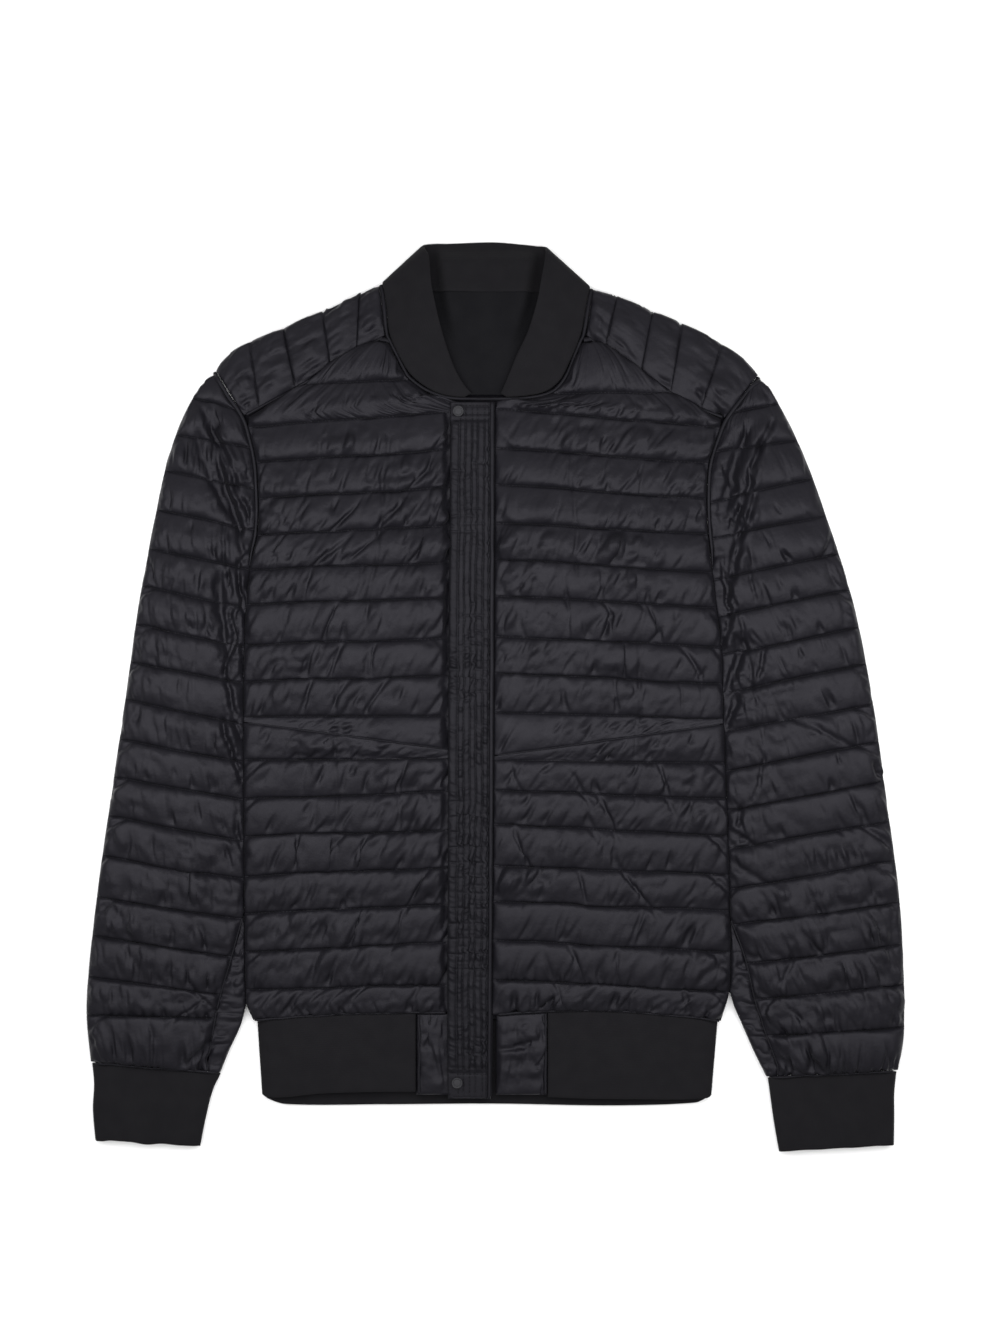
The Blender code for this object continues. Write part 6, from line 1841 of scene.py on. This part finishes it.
# ---------------------------------------------------------------- cords and seam edges
def make_piping():
    """The cords in the neck seam and in the armhole seams."""
    z = UPPER_LOW + STITCH_WALL + 0.8
    fold_z = UPPER_LOW + 1.0
    neck = [(-99.7, 358.6, 6.6), (-98.6, 352.6, fold_z), *((*spot, z) for spot in NECK_CORD),
            (82.3, 349.6, fold_z), (83.4, 355.2, 6.6)]
    far = np.abs(np.linspace(-1.0, 1.0, NECK_CORD_COUNT))
    radius = PIPING_RADIUS + 0.6 * smooth_step((far - 0.72) / 0.1)
    made = tube("cord_neck", through(neck, NECK_CORD_COUNT), radius, TRIM, sides=12)
    on_frame(made, "shell", "neck_piping")
    for side in ("right", "left"):
        sign, _, armhole, body_edge = SLEEVES[side][:4]
        middle = sign * (SEAM_GAP + 0.5 * CORD_ROOM)
        top_y = armhole[0][0]
        points = [(outline(armhole, top_y) + middle - 2.6 * sign, top_y - 3.8, z - 5.5),
                  (outline(armhole, top_y) + middle - 2.4 * sign, top_y - 5.4, z - 2.2)]
        points += [(outline(armhole, y) + middle - 0.7 * sign, y, z) for y in (top_y - 9.0, *ARMHOLE_Y)]
        points += [(outline(body_edge, y) + middle, y, z) for y in ARMHOLE_CORD_Y]
        points.append((outline(body_edge, 114.0) + sign * 0.6, 114.0, z - 0.8))
        radius = np.interp(np.linspace(0.0, 1.0, ARMHOLE_CORD_COUNT), (0.0, 0.04, 0.3, 0.4, 0.9, 1.0),
                           (1.7, 1.9, 1.6, 1.4, 1.3, 0.5))
        made = tube("cord_armhole_%s" % side, through(points, ARMHOLE_CORD_COUNT), radius, TRIM, sides=12,
                    squash=0.8)
        on_frame(made, "shell", "armhole_piping_%s" % side)
        spots = [(top_y - down, lift, low) for down, lift, low in FILLER_TOP]
        spots += [(y, 0.0, FILLER_TOP[-1][2]) for y in ARMHOLE_Y]
        under = [(outline(armhole, y) + middle - 0.5 * sign, y + lift, low) for y, lift, low in spots]
        on_frame(tube("lining_armhole_%s" % side, through(under, 60), 1.95, TRIM, sides=10), "shell")


def make_seam_edges():
    """The narrow turned edges of the shell along the knit pieces."""
    rng = np.random.default_rng(EDGE_SEED)
    z = UPPER_LOW + STITCH_WALL + 1.0
    for side in ("right", "left"):
        sign = SIDES[side][0]
        span = HEM_EDGES[side]
        x = np.linspace(*span, 90)
        wave = 0.35 * Unevenness(rng, 150.0, 10.0, 9.0, 10.0).at(90, 1)[:, 0]
        rise = round_step(np.abs(x - span[0 if sign < 0 else 1]) / 9.0 + 0.15)
        path = np.column_stack([x, hem_seam_y(sign, x) + 0.2 + wave, UPPER_LOW + (z - UPPER_LOW) * rise])
        on_frame(tube("edge_hem_%s" % side, path, 1.0, TRIM, sides=10), "shell")
        rows = CUFF_RIGHT if sign < 0 else CUFF_LEFT
        t = np.linspace(0.03, 0.985, 80)
        wave = 0.35 * Unevenness(rng, 112.0, 10.0, 9.0, 10.0).at(80, 1)[:, 0]
        rise = round_step((np.minimum(t, 1.0 - t) - 0.015) / 0.12)
        x = between(rows[0].outer_x, rows[0].inner_x, t)
        y = between(rows[0].outer_y, rows[0].inner_y, t) + 0.8 + wave
        path = np.column_stack([x, y, 6.0 + (z - 6.0) * rise])
        on_frame(tube("edge_cuff_%s" % side, path, 1.0, TRIM, sides=10), "shell")
        x = TAB_EDGE_X[side]
        y = np.linspace(hem_seam_y(sign, x) - 1.6, TAB_LOW_Y + 1.0, 60)
        wave = 0.3 * Unevenness(rng, 70.0, 10.0, 6.0, 10.0).at(60, 1)[:, 0]
        path = np.column_stack([x + wave, y, np.full(60, z + 0.1)])
        on_frame(tube("edge_tab_%s" % side, path, 1.15, TRIM, sides=10), "shell")


# ---------------------------------------------------------------- stage
def make_stage():
    """A pale floor and soft studio light."""
    bpy.ops.mesh.primitive_plane_add(size=8.0, location=(0.0, 0.0, 0.0))
    floor = bpy.context.object
    floor.name = "floor"
    made, _, shader = start_material("floor_paper", (0.95, 0.95, 0.95), 0.9)
    shader.inputs["Specular IOR Level"].default_value = 0.2
    floor.data.materials.append(made)

    for name, wide, deep, energy, place in LAMPS:
        light = bpy.data.lights.new(name, "AREA")
        light.shape = "RECTANGLE"
        light.size = wide
        light.size_y = deep
        light.energy = energy
        lamp = bpy.data.objects.new(name, light)
        lamp.location = place
        lamp.visible_camera = False
        bpy.context.scene.collection.objects.link(lamp)

    world = bpy.data.worlds.new("studio")
    world.use_nodes = True
    tree = world.node_tree
    background = tree.nodes["Background"]
    set_sockets(background, Color=(1.0, 1.0, 1.0, 1.0))
    toward = add_node(tree, "ShaderNodeTexCoord")
    parts = add_node(tree, "ShaderNodeVectorMath", {0: (toward, "Generated")}, operation="DOT_PRODUCT")
    parts.inputs[1].default_value = GLOW_WAY
    squared = add_node(tree, "ShaderNodeMath", {0: (parts, "Value")}, operation="POWER", use_clamp=True)
    squared.inputs[1].default_value = 2.0
    glow = add_node(tree, "ShaderNodeMapRange", {"Value": (squared, 0)})
    set_sockets(glow, To_Min=GLOW[0], To_Max=GLOW[1])
    tree.links.new(glow.outputs["Result"], background.inputs["Strength"])
    bpy.context.scene.world = world
    bpy.context.scene.view_settings.view_transform = "Standard"


def make_camera():
    """The camera looks straight down at the jacket."""
    lens = bpy.data.cameras.new("camera")
    lens.lens = LENS
    lens.sensor_width = SENSOR_WIDTH
    camera = bpy.data.objects.new("camera", lens)
    camera.location = CAMERA_PLACE
    bpy.context.scene.collection.objects.link(camera)
    bpy.context.scene.camera = camera


make_stage()
make_camera()
make_back()
for side in ("right", "left"):
    make_fronts(side)
    make_sleeve(side)
    make_under_sleeve(side)
make_yoke("right", YOKE_LINES_RIGHT)
make_yoke("left", YOKE_LINES_LEFT)
make_collar()
make_hem_band()
make_cuff("right", CUFF_RIGHT)
make_cuff("left", CUFF_LEFT)
make_lining()
make_placket()
for row in TABS:
    make_tab(*row)
for name, (x, y) in SNAP_PLACES.items():
    make_snap(name, x, y)
make_piping()
make_seam_edges()
